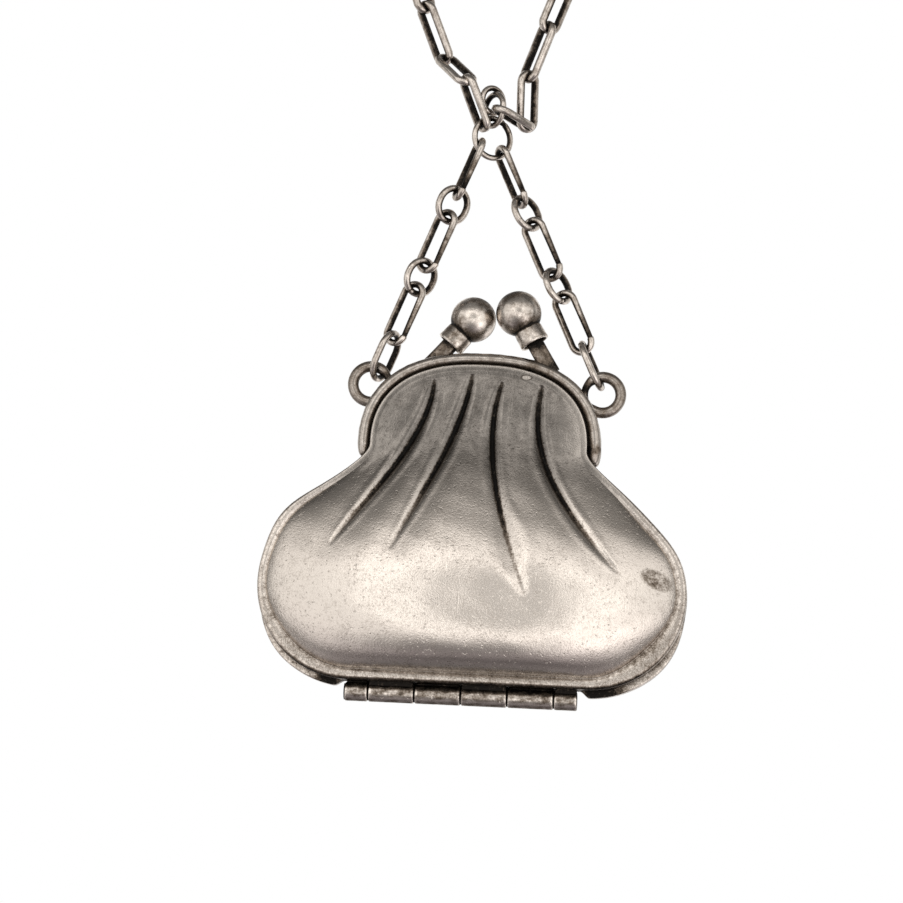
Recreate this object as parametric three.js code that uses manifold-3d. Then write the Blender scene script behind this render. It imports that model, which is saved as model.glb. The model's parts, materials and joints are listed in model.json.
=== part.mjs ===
// Purse necklace: a hollow silver purse locket that opens on a bottom hinge and shuts with a kiss clasp,
// hung by two handle chains from a necklace loop.
// Millimetres, +Z up. The purse faces -Y, and the origin is where the loop rests on the nape of the neck.
import * as THREE from "three";
import { mergeVertices } from "three/addons/utils/BufferGeometryUtils.js";
import Module from "manifold-3d";

const wasm = await Module();
wasm.setup();

// Clearances
const GAP = 0.12;
const SEAM_GAP = 0.14;

// Purse outline, from the hinge axis at the purse's own origin
const BODY_BOTTOM = 0.98;
const BULB_X = 10.6;
const BULB_RADIUS = 8.4;
const BULB_Z = BODY_BOTTOM + BULB_RADIUS;
const BULB_END_DEG = 36;
const SHOULDER_PULL = 4.2;
const WAIST_PULL = 1.6;
const NECK_HALF_WIDTH = 9.55;
const NECK_Z = 22.0;
const NECK_RISE = 7.4;
const NECK_POWER = 2.4;
const OUTLINE_STEPS = 20;

// Shell relief, as depth in front of the seam plane and inset from the outline
const FLANGE_DEPTH = 1.5;
const FLANGE_EDGE = 0.32;
const CREASE_DEPTH = 1.25;
const CREASE_INSET_BELLY = 1.1;
const CREASE_INSET_NECK = 0.45;
const BELLY_RISE = 4.6;
const NECK_DOME = 0.55;
const DOME_POWER = 2.3;
const SPINE_LOW = 7.0;
const SPINE_HIGH = 24.5;
const WALL = 0.85;
const RIM_WIDTH = 0.95;
const INNER_CREASE_INSET = 1.65;
const INNER_CREASE_DEPTH = 0.55;
const FLANGE_FADE_FROM = 16;
const FLANGE_FADE_TO = 21;
const DOME_FADE_FROM = 8;
const DOME_FADE_TO = 25;
const OUTER_DOME_STEPS = [0.1, 0.32, 0.64, 1];
const INNER_DOME_STEPS = [0.35, 1];

// Pleats pressed into each panel, each a Bezier curve in (x, z) from its top to its tip on the belly
const PLEATS = [
  { top: [-4.3, 27.4], bend: [-4.4, 23.6], belly: [-8.6, 18.8], tip: [-12.5, 13.1] },
  { top: [-0.95, 28.2], bend: [-1.2, 24.5], belly: [-4.6, 18.2], tip: [-7.1, 13.0] },
  { top: [1.7, 27.7], bend: [0.4, 22.6], belly: [1.9, 16.6], tip: [4.5, 9.8] },
  { top: [5.35, 27.6], bend: [4.6, 23.2], belly: [6.0, 18.4], tip: [12.3, 12.3] },
];
const PLEAT_DEPTH = 0.45;
const PLEAT_SPREAD = 1.15;
const PLEAT_CLEARANCE = 0.4;
const PLEAT_SKEW = 0.8;
const PLEAT_STEPS = 5;

// Frame wire over the neck of each half
const FRAME_WIRE = 0.55;
const FRAME_Y = 0.63;
const FRAME_HALF_WIDTH = 10.3;
const FRAME_RISE = 8.1;
const FRAME_END_DEG = 14;
const FRAME_STEPS = 16;
const SHOULDER_GAP = 0.17;
const SHOULDER_CUT = 4;
const WIRE_SIDES = 6;

// Bail rings soldered to the back frame, and the height at which both hang on their chains
const BAILS = { left: { side: -1, x: 10.05, z: 27.7 }, right: { side: 1, x: 10.73, z: 27.5 } };
const BAIL_Y = 0.55;
const BAIL_RADIUS = 1.62;
const BAIL_WIRE = 0.5;
const SWING_Z = 29.05;

// Kiss clasp: each half has a leaning post and a ball whose collar slips over the post
const CLASP_POSTS = {
  front: { baseX: 6.15, baseZ: 29.1, baseY: -0.52, ballX: 2.95, ballZ: 34.4, ballY: -0.5 },
  back: { baseX: -4.8, baseZ: 29.6, baseY: 0.52, ballX: -1.15, ballZ: 33.9, ballY: 0.5 },
};
const BALL_RADIUS = 2.03;
const COLLAR_RADIUS = 1.33;
const COLLAR_BORE = 1.06;
const COLLAR_LIP = 3.1;
const COLLAR_FLOOR = 1.8;
const POST_RADIUS = 0.8;
const POST_FLATNESS = 0.52;
const POST_SIDES = 10;
const BALL_SIDES = 12;
const BALL_STEPS = 5;

// Bottom hinge: six knuckles in turn on the back and the front, on one pin
const HINGE_X = -0.5;
const KNUCKLES = [
  { half: "back", length: 2.1 },
  { half: "front", length: 4.1 },
  { half: "back", length: 4.1 },
  { half: "front", length: 4.1 },
  { half: "back", length: 4.1 },
  { half: "front", length: 2.1 },
];
const BARREL_RADIUS = 0.82;
const BARREL_BORE = 0.44;
const PIN_RADIUS = 0.34;
const HINGE_SIDES = 10;
const LEAF_NEAR = 0.16;
const LEAF_FAR = 0.78;
const LEAF_LOW = 0.56;
const LEAF_HIGH = 1.4;

// Handle chains: each row is one link from the bail up, with its inner length, the half width of its
// wire's centre line and its turn about the chain on either side, which the last link takes from its ring
const HANDLE_WIRE = 0.31;
const HANDLE_CHAIN = [
  { name: "bail_ring", inside: 3.7, halfWidth: 1.55, turn: { left: 72, right: 82 } },
  { name: "link_1", inside: 5.08, halfWidth: 0.94, turn: { left: -25, right: -20 } },
  { name: "ring_1", inside: 2.45, halfWidth: 1.46, turn: { left: 45, right: 55 } },
  { name: "link_2", inside: 5.08, halfWidth: 0.94, turn: { left: -30, right: -25 } },
  { name: "ring_2", inside: 2.45, halfWidth: 1.46, turn: { left: 40, right: 50 } },
  { name: "link_3", inside: 5.08, halfWidth: 0.94 },
];

// Jump rings where the handle chains and the necklace meet, each turned about the vertical, and where
// the chains hang on the front one by the angle from its bottom
const JUNCTION_WIRE = 0.27;
const FRONT_RING = { radius: 1.82, turn: 33, centre: [-0.28, 0.32, 50.65] };
const REAR_RING = { radius: 1.45, turn: -50 };
const SIDE_RING = { radius: 1.15, turn: 40 };
const HANDLE_HANG_DEG = { left: -50, right: 38 };
const SIDE_RING_HANG_DEG = 190;

// Necklace loop
const NECKLACE_LENGTH = 406;
const NECKLACE_LEAN_DEG = 20;
const LINK_WIRE = 0.325;
const LINK_HALF_WIDTH = 0.83;
const LINK_PITCH = 4.85;
const LINK_SIDES = 10;
const LINK_END_DEG = 62;
const LINK_WIRE_SIDES = 5;
const LINK_FUSE = 0.06;
const LINK_TURN_DEG = 45;
const CLASP_RADIUS = 2.6;
const CLASP_WIRE = 0.3;

// Where each strand hangs on its junction ring, by the angle from the ring's bottom, and the points
// that its first links pass on the way to the straight leg, from the front ring's centre
const STRANDS = {
  left: {
    side: -1,
    hang: -140,
    points: [
      [-2.45, -1.5, 4.9],
      [-4.8, 0.9, 7.5],
      [-6.75, 0.1, 12.1],
    ],
  },
  right: {
    side: 1,
    hang: 75,
    points: [
      [2.95, 1.5, 1.6],
      [2.95, 0.4, 5.95],
      [4.55, 0, 10.5],
    ],
  },
};

// Silver in each place: brighter where it is rubbed, darker where the oxide stays
const FINISHES = {
  shell: { color: 0xb8b2a8, roughness: 0.32 },
  frame: { color: 0x9a948b, roughness: 0.35 },
  ball: { color: 0xa9a39a, roughness: 0.28 },
  pin: { color: 0x7d7871, roughness: 0.4 },
  handle: { color: 0x8f8a84, roughness: 0.35 },
  necklace: { color: 0xb0aaa2, roughness: 0.33 },
};

const MERGE_DISTANCE = 1e-4;
const ANGLE_TOLERANCE = 0.01;
const Y_AXIS = new THREE.Vector3(0, 1, 0);
const Z_AXIS = new THREE.Vector3(0, 0, 1);
const radians = THREE.MathUtils.degToRad;

const silver = (place) => new THREE.MeshStandardMaterial({ ...FINISHES[place], metalness: 1 });

function solid(geometry) {
  const bare = geometry.clone();
  bare.deleteAttribute("normal");
  bare.deleteAttribute("uv");
  const merged = mergeVertices(bare, MERGE_DISTANCE);
  const index = merged.index.array;
  const kept = [];
  for (let i = 0; i < index.length; i += 3) {
    const [a, b, c] = [index[i], index[i + 1], index[i + 2]];
    if (a !== b && b !== c && c !== a) kept.push(a, b, c);
  }
  return new wasm.Manifold(
    new wasm.Mesh({
      numProp: 3,
      vertProperties: merged.attributes.position.array,
      triVerts: new Uint32Array(kept),
    }),
  );
}

function geometryOf(body) {
  const mesh = body.getMesh();
  const geometry = new THREE.BufferGeometry();
  geometry.setAttribute("position", new THREE.BufferAttribute(mesh.vertProperties, 3));
  geometry.setIndex(new THREE.BufferAttribute(mesh.triVerts, 1));
  geometry.computeVertexNormals();
  return geometry;
}

const fuse = (geometries) =>
  geometryOf(geometries.map(solid).reduce((whole, part) => whole.add(part)));

const cut = (geometry, cutters) =>
  geometryOf(cutters.map(solid).reduce((whole, part) => whole.subtract(part), solid(geometry)));

function piece(name, geometry, material) {
  const mesh = new THREE.Mesh(geometry, material);
  mesh.name = name;
  return mesh;
}

// A closed skin through rings of points. The first and last rings are closed by their own shape.
function skin(rings, closeEnds) {
  const count = rings[0].length;
  const positions = rings.flat().flatMap((point) => [point.x, point.y, point.z]);
  const index = [];
  for (let ring = 0; ring + 1 < rings.length; ring++) {
    for (let i = 0; i < count; i++) {
      const a = ring * count + i;
      const b = ring * count + ((i + 1) % count);
      index.push(a, b, b + count, a, b + count, a + count);
    }
  }
  if (closeEnds) {
    const last = (rings.length - 1) * count;
    for (let i = 1; i + 1 < count; i++) {
      index.push(0, i + 1, i, last, last + i, last + i + 1);
    }
  }
  const geometry = new THREE.BufferGeometry();
  geometry.setAttribute("position", new THREE.Float32BufferAttribute(positions, 3));
  geometry.setIndex(index);
  return geometry;
}

const signedPower = (value, power) => Math.sign(value) * Math.pow(Math.abs(value), power);

// The arch over the neck in (x, z): a superellipse between two angles from +X
class NeckArch extends THREE.Curve {
  constructor(halfWidth, rise, fromDeg, toDeg) {
    super();
    Object.assign(this, { halfWidth, rise, fromDeg, toDeg });
  }
  getPoint(share, target = new THREE.Vector2()) {
    const angle = radians(THREE.MathUtils.lerp(this.fromDeg, this.toDeg, share));
    return target.set(
      this.halfWidth * signedPower(Math.cos(angle), 2 / NECK_POWER),
      NECK_Z + this.rise * signedPower(Math.sin(angle), 2 / NECK_POWER),
    );
  }
}

// Right half of the panel's outline in (x, z), from the bottom centre to the top of the neck
function halfOutline() {
  const end = radians(BULB_END_DEG);
  const armX = BULB_X + BULB_RADIUS * Math.cos(end);
  const armZ = BULB_Z + BULB_RADIUS * Math.sin(end);
  const path = new THREE.Path();
  path.moveTo(0, BODY_BOTTOM);
  path.lineTo(BULB_X, BODY_BOTTOM);
  path.absarc(BULB_X, BULB_Z, BULB_RADIUS, -Math.PI / 2, end, false);
  path.bezierCurveTo(
    armX - SHOULDER_PULL * Math.sin(end),
    armZ + SHOULDER_PULL * Math.cos(end),
    NECK_HALF_WIDTH,
    NECK_Z - WAIST_PULL,
    NECK_HALF_WIDTH,
    NECK_Z,
  );
  path.add(new NeckArch(NECK_HALF_WIDTH, NECK_RISE, 0, 90));
  return path.getSpacedPoints(OUTLINE_STEPS);
}

function wholeOutline() {
  const right = halfOutline();
  const left = right.slice(1, -1).reverse();
  return [...right, ...left.map((point) => new THREE.Vector2(-point.x, point.y))];
}

const OUTLINE = wholeOutline();

// The outline moved inwards by a distance that may vary with height
function inset(distanceAt) {
  const count = OUTLINE.length;
  return OUTLINE.map((point, i) => {
    const before = OUTLINE[(i + count - 1) % count];
    const after = OUTLINE[(i + 1) % count];
    const along = after.clone().sub(before).normalize();
    const inward = new THREE.Vector2(-along.y, along.x);
    return point.clone().addScaledVector(inward, distanceAt(point.y));
  });
}

const flangeShare = (z) => 1 - THREE.MathUtils.smoothstep(z, FLANGE_FADE_FROM, FLANGE_FADE_TO);
const creaseInset = (z) =>
  THREE.MathUtils.lerp(CREASE_INSET_NECK, CREASE_INSET_BELLY, flangeShare(z));
const CREASE = inset(creaseInset);
const INNER_CREASE = inset(() => INNER_CREASE_INSET);

const domeRise = (z) =>
  NECK_DOME +
  (BELLY_RISE - NECK_DOME) * (1 - THREE.MathUtils.smoothstep(z, DOME_FADE_FROM, DOME_FADE_TO));

const roundness = (share) =>
  Math.pow(1 - Math.pow(1 - THREE.MathUtils.clamp(share, 0, 1), DOME_POWER), 1 / DOME_POWER);

// A ring of the dome, a share of the way from its crease to the spine up the panel's middle
function domeRing(crease, share, depthAt) {
  return crease.map((point) => {
    const spine = new THREE.Vector2(0, THREE.MathUtils.clamp(point.y, SPINE_LOW, SPINE_HIGH));
    const at = point.clone().lerp(spine, share);
    return new THREE.Vector3(at.x, -depthAt(at.y), at.y);
  });
}

const flatRing = (points, depth) =>
  points.map((point) => new THREE.Vector3(point.x, -depth, point.y));

const outerDepth = (share) => (z) => CREASE_DEPTH + domeRise(z) * roundness(share);
const innerDepth = (share) => (z) =>
  INNER_CREASE_DEPTH +
  (domeRise(z) + CREASE_DEPTH - INNER_CREASE_DEPTH - WALL) * roundness(share);

function panel() {
  const seam = SEAM_GAP / 2;
  const outer = [
    flatRing(OUTLINE, seam),
    flatRing(OUTLINE, FLANGE_DEPTH - FLANGE_EDGE),
    flatRing(inset(() => FLANGE_EDGE), FLANGE_DEPTH),
    flatRing(CREASE, CREASE_DEPTH),
    ...OUTER_DOME_STEPS.map((share) => domeRing(CREASE, share, outerDepth(share))),
  ];
  const inner = [
    flatRing(inset(() => RIM_WIDTH), seam),
    flatRing(INNER_CREASE, INNER_CREASE_DEPTH),
    ...INNER_DOME_STEPS.map((share) => domeRing(INNER_CREASE, share, innerDepth(share))),
  ];
  return skin([...inner.reverse(), ...outer], false);
}

function creaseHalfWidth(z) {
  const right = CREASE.slice(0, OUTLINE_STEPS + 1);
  const above = right.findIndex((point) => point.y > z);
  const [low, high] = [right[above - 1], right[above]];
  return THREE.MathUtils.mapLinear(z, low.y, high.y, low.x, high.x);
}

const archReach = (x, z) =>
  Math.pow(
    Math.pow(Math.abs(x) / NECK_HALF_WIDTH, NECK_POWER) + Math.pow((z - NECK_Z) / NECK_RISE, NECK_POWER),
    1 / NECK_POWER,
  );

function panelDepth(x, z) {
  const reach = z < SPINE_HIGH ? Math.abs(x) / creaseHalfWidth(z) : archReach(x, z);
  return outerDepth(1 - reach)(z);
}

// The V-shaped groove of a pleat, deepest above its middle and running out at both ends
function pleatCutter({ top, bend, belly, tip }) {
  const curve = new THREE.CubicBezierCurve(
    ...[top, bend, belly, tip].map(([x, z]) => new THREE.Vector2(x, z)),
  );
  const rings = [];
  for (let step = 0; step <= PLEAT_STEPS; step++) {
    const share = step / PLEAT_STEPS;
    const at = curve.getPoint(share);
    const along = curve.getTangent(share);
    const depth = PLEAT_DEPTH * Math.sin(Math.PI * Math.pow(share, PLEAT_SKEW));
    const surface = panelDepth(at.x, at.y);
    const half = (depth + PLEAT_CLEARANCE) * PLEAT_SPREAD;
    const outside = -surface - PLEAT_CLEARANCE;
    rings.push([
      new THREE.Vector3(at.x - along.y * half, outside, at.y + along.x * half),
      new THREE.Vector3(at.x + along.y * half, outside, at.y - along.x * half),
      new THREE.Vector3(at.x, depth - surface, at.y),
    ]);
  }
  return skin(rings, true);
}

// One hinge knuckle with the leaf that is soldered into the panel's rim
function knuckle(start, length, half) {
  const middle = start + length / 2;
  const reach = (length - GAP) / 2;
  const profile = [
    new THREE.Vector2(BARREL_BORE, -reach),
    new THREE.Vector2(BARREL_RADIUS, -reach),
    new THREE.Vector2(BARREL_RADIUS, reach),
    new THREE.Vector2(BARREL_BORE, reach),
    new THREE.Vector2(BARREL_BORE, -reach),
  ];
  const barrel = new THREE.LatheGeometry(profile, HINGE_SIDES);
  barrel.rotateZ(-Math.PI / 2).translate(middle, 0, 0);
  const leaf = new THREE.BoxGeometry(2 * reach - GAP, LEAF_FAR - LEAF_NEAR, LEAF_HIGH - LEAF_LOW);
  const side = half === "front" ? -1 : 1;
  leaf.translate(middle, (side * (LEAF_FAR + LEAF_NEAR)) / 2, (LEAF_HIGH + LEAF_LOW) / 2);
  return [barrel, leaf];
}

const hingeLength = KNUCKLES.reduce((sum, row) => sum + row.length, 0);

function knuckles(half) {
  let start = HINGE_X - hingeLength / 2;
  const parts = [];
  for (const row of KNUCKLES) {
    if (row.half === half) parts.push(...knuckle(start, row.length, half));
    start += row.length;
  }
  return parts;
}

// Both panels come from one die, so the back one is the front one turned half round
function shell(half) {
  const body = cut(panel(), PLEATS.map(pleatCutter));
  if (half === "back") body.rotateZ(Math.PI);
  return fuse([body, ...knuckles(half)]);
}

// The line that a frame wire follows, a little past half of the neck's arch
function wirePath(y) {
  const arch = new NeckArch(FRAME_HALF_WIDTH, FRAME_RISE, -FRAME_END_DEG, 180 + FRAME_END_DEG);
  return new THREE.CatmullRomCurve3(flatRing(arch.getSpacedPoints(FRAME_STEPS), -y));
}

function wireSection(radius) {
  const corners = [];
  for (let i = 0; i < WIRE_SIDES; i++) {
    const angle = (2 * Math.PI * i) / WIRE_SIDES;
    corners.push(new THREE.Vector2(radius * Math.cos(angle), radius * Math.sin(angle)));
  }
  return new THREE.Shape(corners);
}

// The panel's outline with a gap round it, so that the wire's ends stop short of the shoulders
function shoulderCutter() {
  const outline = inset(() => -SHOULDER_GAP);
  const geometry = new THREE.ExtrudeGeometry(new THREE.Shape(outline), {
    depth: SHOULDER_CUT,
    bevelEnabled: false,
  });
  return geometry.rotateX(Math.PI / 2).translate(0, SHOULDER_CUT / 2, 0);
}

function claspPost({ baseX, baseY, baseZ, ballX, ballY, ballZ }) {
  const base = new THREE.Vector3(baseX, baseY, baseZ);
  const ball = new THREE.Vector3(ballX, ballY, ballZ);
  return { base, ball, along: ball.clone().sub(base).normalize() };
}

const turnTo = (along) => new THREE.Quaternion().setFromUnitVectors(Y_AXIS, along);

function post(half) {
  const { base, ball, along } = claspPost(CLASP_POSTS[half]);
  const length = ball.distanceTo(base) - COLLAR_FLOOR - GAP;
  const geometry = new THREE.CylinderGeometry(POST_RADIUS, POST_RADIUS, length, POST_SIDES);
  geometry.scale(1, 1, POST_FLATNESS).translate(0, length / 2, 0);
  geometry.applyQuaternion(turnTo(along));
  return geometry.translate(base.x, base.y, base.z);
}

function bailRing({ side, x, z }) {
  const ring = roundRing(BAIL_RADIUS, BAIL_WIRE);
  return ring.rotateX(Math.PI / 2).translate(side * x, BAIL_Y, z);
}

function frame(half) {
  const y = half === "front" ? -FRAME_Y : FRAME_Y;
  const wire = new THREE.ExtrudeGeometry(wireSection(FRAME_WIRE), {
    steps: FRAME_STEPS,
    bevelEnabled: false,
    extrudePath: wirePath(y),
  });
  const trimmed = cut(wire, [shoulderCutter()]);
  const bails = half === "back" ? Object.values(BAILS).map(bailRing) : [];
  return fuse([trimmed, post(half), ...bails]);
}

// A clasp ball on its collar, which is bored to slip over the post. The ball's centre is the origin.
function knob() {
  const neckAngle = Math.asin(COLLAR_RADIUS / BALL_RADIUS);
  const profile = [
    new THREE.Vector2(0, -COLLAR_FLOOR),
    new THREE.Vector2(COLLAR_BORE, -COLLAR_FLOOR),
    new THREE.Vector2(COLLAR_BORE, -COLLAR_LIP),
    new THREE.Vector2(COLLAR_RADIUS, -COLLAR_LIP),
  ];
  for (let step = 0; step <= BALL_STEPS; step++) {
    const angle = THREE.MathUtils.lerp(neckAngle, Math.PI, step / BALL_STEPS);
    const radius = step === BALL_STEPS ? 0 : BALL_RADIUS * Math.sin(angle);
    profile.push(new THREE.Vector2(radius, -BALL_RADIUS * Math.cos(angle)));
  }
  return geometryOf(solid(new THREE.LatheGeometry(profile, BALL_SIDES)));
}

// A chain link: a ring drawn out along X until its inside has the given length. The wire has an edge
// on its inner side and a straight stretch at each end, so that two links touch edge to edge.
function link(inside, halfWidth, wire) {
  const ring = new THREE.TorusGeometry(halfWidth, wire, LINK_WIRE_SIDES, LINK_SIDES);
  ring.rotateZ(Math.PI / LINK_SIDES);
  const stretch = inside / 2 + wire - halfWidth * Math.cos(Math.PI / LINK_SIDES);
  const position = ring.attributes.position;
  for (let i = 0; i < position.count; i++) {
    const point = new THREE.Vector3().fromBufferAttribute(position, i);
    const reach = Math.hypot(point.x, point.y);
    const round = linkAngle(Math.atan2(point.y, point.x));
    const turned = 2 * halfWidth - reach;
    const side = Math.abs(Math.cos(round)) < ANGLE_TOLERANCE ? 0 : Math.sign(Math.cos(round));
    position.setXYZ(
      i,
      turned * Math.cos(round) + stretch * side,
      turned * Math.sin(round),
      -point.z,
    );
  }
  return geometryOf(solid(ring));
}

// Corners between a link's end and its sides move out, so that the sides stay nearly straight
function linkAngle(angle) {
  const fromEnd = Math.acos(Math.abs(Math.cos(angle)));
  const isCorner = Math.abs(fromEnd - (3 * Math.PI) / LINK_SIDES) < ANGLE_TOLERANCE;
  if (!isCorner) return angle;
  const corner = radians(LINK_END_DEG);
  return Math.atan2(
    Math.sin(corner) * Math.sign(Math.sin(angle)),
    Math.cos(corner) * Math.sign(Math.cos(angle)),
  );
}

const roundRing = (radius, wire) => link(2 * (radius - wire), radius, wire);

// The placement of a link whose length lies along a direction, turned about it by an angle
function linkMatrix(centre, along, turnDeg) {
  const sideways = Y_AXIS.clone().cross(along).normalize();
  const deep = along.clone().cross(sideways);
  const turn = radians(turnDeg);
  const across = sideways.multiplyScalar(Math.cos(turn)).addScaledVector(deep, Math.sin(turn));
  const normal = along.clone().cross(across);
  return new THREE.Matrix4().makeBasis(along, across, normal).setPosition(centre);
}

// The turn that sets a link square across the wire that it holds
function turnAcross(wireDirection, along) {
  const sideways = Y_AXIS.clone().cross(along).normalize();
  const deep = along.clone().cross(sideways);
  return THREE.MathUtils.radToDeg(
    Math.atan2(-wireDirection.dot(sideways), wireDirection.dot(deep)),
  );
}

function placed(mesh, matrix) {
  matrix.decompose(mesh.position, mesh.quaternion, mesh.scale);
  return mesh;
}

// Where the lowest wire of a handle chain lies in its bail, next to the bail's wire at the swing axis
function hookPoint({ side, x, z }) {
  const hang = Math.acos((SWING_Z - z) / BAIL_RADIUS);
  const reach = BAIL_RADIUS - BAIL_WIRE - HANDLE_WIRE - GAP;
  return new THREE.Vector3(side * (x - reach * Math.sin(hang)), BAIL_Y, z + reach * Math.cos(hang));
}

// A point on the wire of a junction ring, by its angle from the bottom towards +X
function ringPoint(centre, { radius, turn }, angleDeg) {
  const angle = radians(angleDeg);
  const yaw = radians(turn);
  return new THREE.Vector3(
    centre.x + radius * Math.sin(angle) * Math.cos(yaw),
    centre.y + radius * Math.sin(angle) * Math.sin(yaw),
    centre.z - radius * Math.cos(angle),
  );
}

const frontRingCentre = new THREE.Vector3(...FRONT_RING.centre);
const ringPitch = 2 * JUNCTION_WIRE + GAP;
const rearRingCentre = frontRingCentre
  .clone()
  .addScaledVector(Z_AXIS, FRONT_RING.radius + REAR_RING.radius - ringPitch);
const sideRingCentre = ringPoint(rearRingCentre, REAR_RING, SIDE_RING_HANG_DEG).addScaledVector(
  Z_AXIS,
  ringPitch - SIDE_RING.radius,
);

function junctionRing(name, centre, { radius, turn }) {
  const mesh = piece(name, roundRing(radius, JUNCTION_WIRE), silver("handle"));
  return placed(mesh, linkMatrix(centre, Z_AXIS, turn));
}

// A handle chain drawn straight from its bail to the front ring, with the same play at every contact
function handleChain(label) {
  const low = hookPoint(BAILS[label]);
  const end = ringPoint(frontRingCentre, FRONT_RING, HANDLE_HANG_DEG[label]);
  const held = ringDirection(FRONT_RING, HANDLE_HANG_DEG[label]);
  const along = end.clone().sub(low).normalize();
  const reach = HANDLE_CHAIN.reduce((sum, row) => sum + row.inside, HANDLE_WIRE - JUNCTION_WIRE);
  const play = (reach - low.distanceTo(end)) / HANDLE_CHAIN.length;
  return HANDLE_CHAIN.map((row) => {
    const length = row.inside + 2 * HANDLE_WIRE;
    const centre = low.clone().addScaledVector(along, length / 2);
    low.addScaledVector(along, row.inside - play);
    const geometry = link(row.inside, row.halfWidth, HANDLE_WIRE);
    const mesh = piece(`handle_${label}_${row.name}`, geometry, silver("handle"));
    const turn = row.turn ? row.turn[label] : turnAcross(held, along);
    return placed(mesh, linkMatrix(centre, along, turn));
  });
}

// The loop is a circle round the neck with two straight legs that meet it at a tangent
const lean = radians(NECKLACE_LEAN_DEG);
const loopRadius = NECKLACE_LENGTH / 2 / (1 / Math.tan(lean) + Math.PI / 2 + lean);
const loopCentreZ = frontRingCentre.z + loopRadius / Math.sin(lean);
const loopTop = loopCentreZ + loopRadius;

// The direction of a junction ring's wire at an angle from its bottom
function ringDirection({ turn }, angleDeg) {
  const angle = radians(angleDeg);
  const yaw = radians(turn);
  return new THREE.Vector3(
    Math.cos(angle) * Math.cos(yaw),
    Math.cos(angle) * Math.sin(yaw),
    Math.sin(angle),
  );
}

// Points where the links of one strand touch, from its last free point up the leg to the nape
function legContacts(side, start) {
  const reach = Math.hypot(start.x, loopCentreZ - start.z);
  const legLength = Math.sqrt(reach * reach - loopRadius * loopRadius);
  const legAngle = Math.asin(loopRadius / reach) - Math.asin(Math.abs(start.x) / reach);
  const tangent = new THREE.Vector3(
    start.x + side * legLength * Math.sin(legAngle),
    0,
    start.z + legLength * Math.cos(legAngle),
  );
  const claspAngle = Math.asin((CLASP_RADIUS - CLASP_WIRE - GAP / 2) / loopRadius);
  const total = legLength + loopRadius * (Math.PI / 2 + legAngle - claspAngle);
  const count = Math.round(total / LINK_PITCH);
  const contacts = [];
  for (let i = 1; i <= count; i++) {
    const travelled = (total * i) / count;
    const angle = (travelled - legLength) / loopRadius - legAngle;
    const onArc = new THREE.Vector3(
      side * loopRadius * Math.cos(angle),
      0,
      loopCentreZ + loopRadius * Math.sin(angle),
    );
    const onLeg = start.clone().lerp(tangent, travelled / legLength);
    contacts.push(travelled < legLength ? onLeg : onArc);
  }
  return contacts;
}

function strand({ side, hang, points }, ring, ringCentre) {
  const free = points.map(([x, y, z]) => new THREE.Vector3(x, y, z).add(frontRingCentre));
  const foot = ringPoint(ringCentre, ring, hang);
  const first = free[0].clone().sub(foot).normalize();
  const held = foot.clone().addScaledVector(first, -(JUNCTION_WIRE + GAP / 2));
  const contacts = [held, ...free, ...legContacts(side, free.at(-1))];
  const last = contacts.length - 2;
  const firstTurn = turnAcross(ringDirection(ring, hang), first);
  const links = contacts.slice(0, -1).map((from, i) => {
    const to = contacts[i + 1];
    const along = to.clone().sub(from).normalize();
    const startReach = i === 0 ? LINK_WIRE + GAP / 2 : LINK_WIRE - LINK_FUSE / 2;
    const endReach = i === last ? LINK_WIRE + GAP / 2 : LINK_WIRE - LINK_FUSE / 2;
    const inside = from.distanceTo(to) + startReach + endReach - 2 * LINK_WIRE;
    const middle = from.clone().add(to).multiplyScalar(0.5);
    const centre = middle.addScaledVector(along, (endReach - startReach) / 2);
    const laterTurn = 90 * ((last - i) % 2) + LINK_TURN_DEG * (1 - i / last);
    const turn = i === 0 ? firstTurn : laterTurn;
    const geometry = link(inside, LINK_HALF_WIDTH, LINK_WIRE);
    return geometry.applyMatrix4(linkMatrix(centre, along, turn));
  });
  return fuse(links);
}

function purseHalf(half) {
  const group = new THREE.Group();
  const { ball, along } = claspPost(CLASP_POSTS[half]);
  const ballMesh = piece(`${half}_knob`, knob(), silver("ball"));
  ballMesh.position.copy(ball);
  ballMesh.quaternion.copy(turnTo(along));
  group.add(
    piece(`${half}_shell`, shell(half), silver("shell")),
    piece(`${half}_frame`, frame(half), silver("frame")),
    ballMesh,
  );
  return group;
}

function hingePin() {
  const length = hingeLength - GAP;
  const pin = new THREE.CylinderGeometry(PIN_RADIUS, PIN_RADIUS, length, HINGE_SIDES);
  const mesh = piece("hinge_pin", pin, silver("pin"));
  mesh.rotation.z = Math.PI / 2;
  mesh.position.x = HINGE_X;
  return mesh;
}

const purse = new THREE.Group();
purse.add(purseHalf("front"), purseHalf("back"), hingePin());

const chains = new THREE.Group();
chains.add(
  ...handleChain("left"),
  ...handleChain("right"),
  junctionRing("junction_ring_front", frontRingCentre, FRONT_RING),
  junctionRing("junction_ring_rear", rearRingCentre, REAR_RING),
  junctionRing("junction_ring_side", sideRingCentre, SIDE_RING),
  piece("necklace_left", strand(STRANDS.left, FRONT_RING, frontRingCentre), silver("necklace")),
  piece("necklace_right", strand(STRANDS.right, REAR_RING, rearRingCentre), silver("necklace")),
);
const clasp = piece("necklace_clasp", roundRing(CLASP_RADIUS, CLASP_WIRE), silver("necklace"));
clasp.position.z = loopTop;
chains.add(clasp);

const hanging = new THREE.Group();
hanging.position.z = -loopTop;
hanging.add(purse, chains);

const necklace = new THREE.Group();
necklace.add(hanging);

export default necklace;
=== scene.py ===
"""Looks of a silver purse locket on its necklace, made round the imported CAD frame."""

import json
import math

import bmesh
import bpy
import numpy as np
from bpy.props import FloatProperty, FloatVectorProperty, IntProperty, PointerProperty
from bpy.types import Operator, Panel, PropertyGroup
from mathutils import Matrix, Vector


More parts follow.
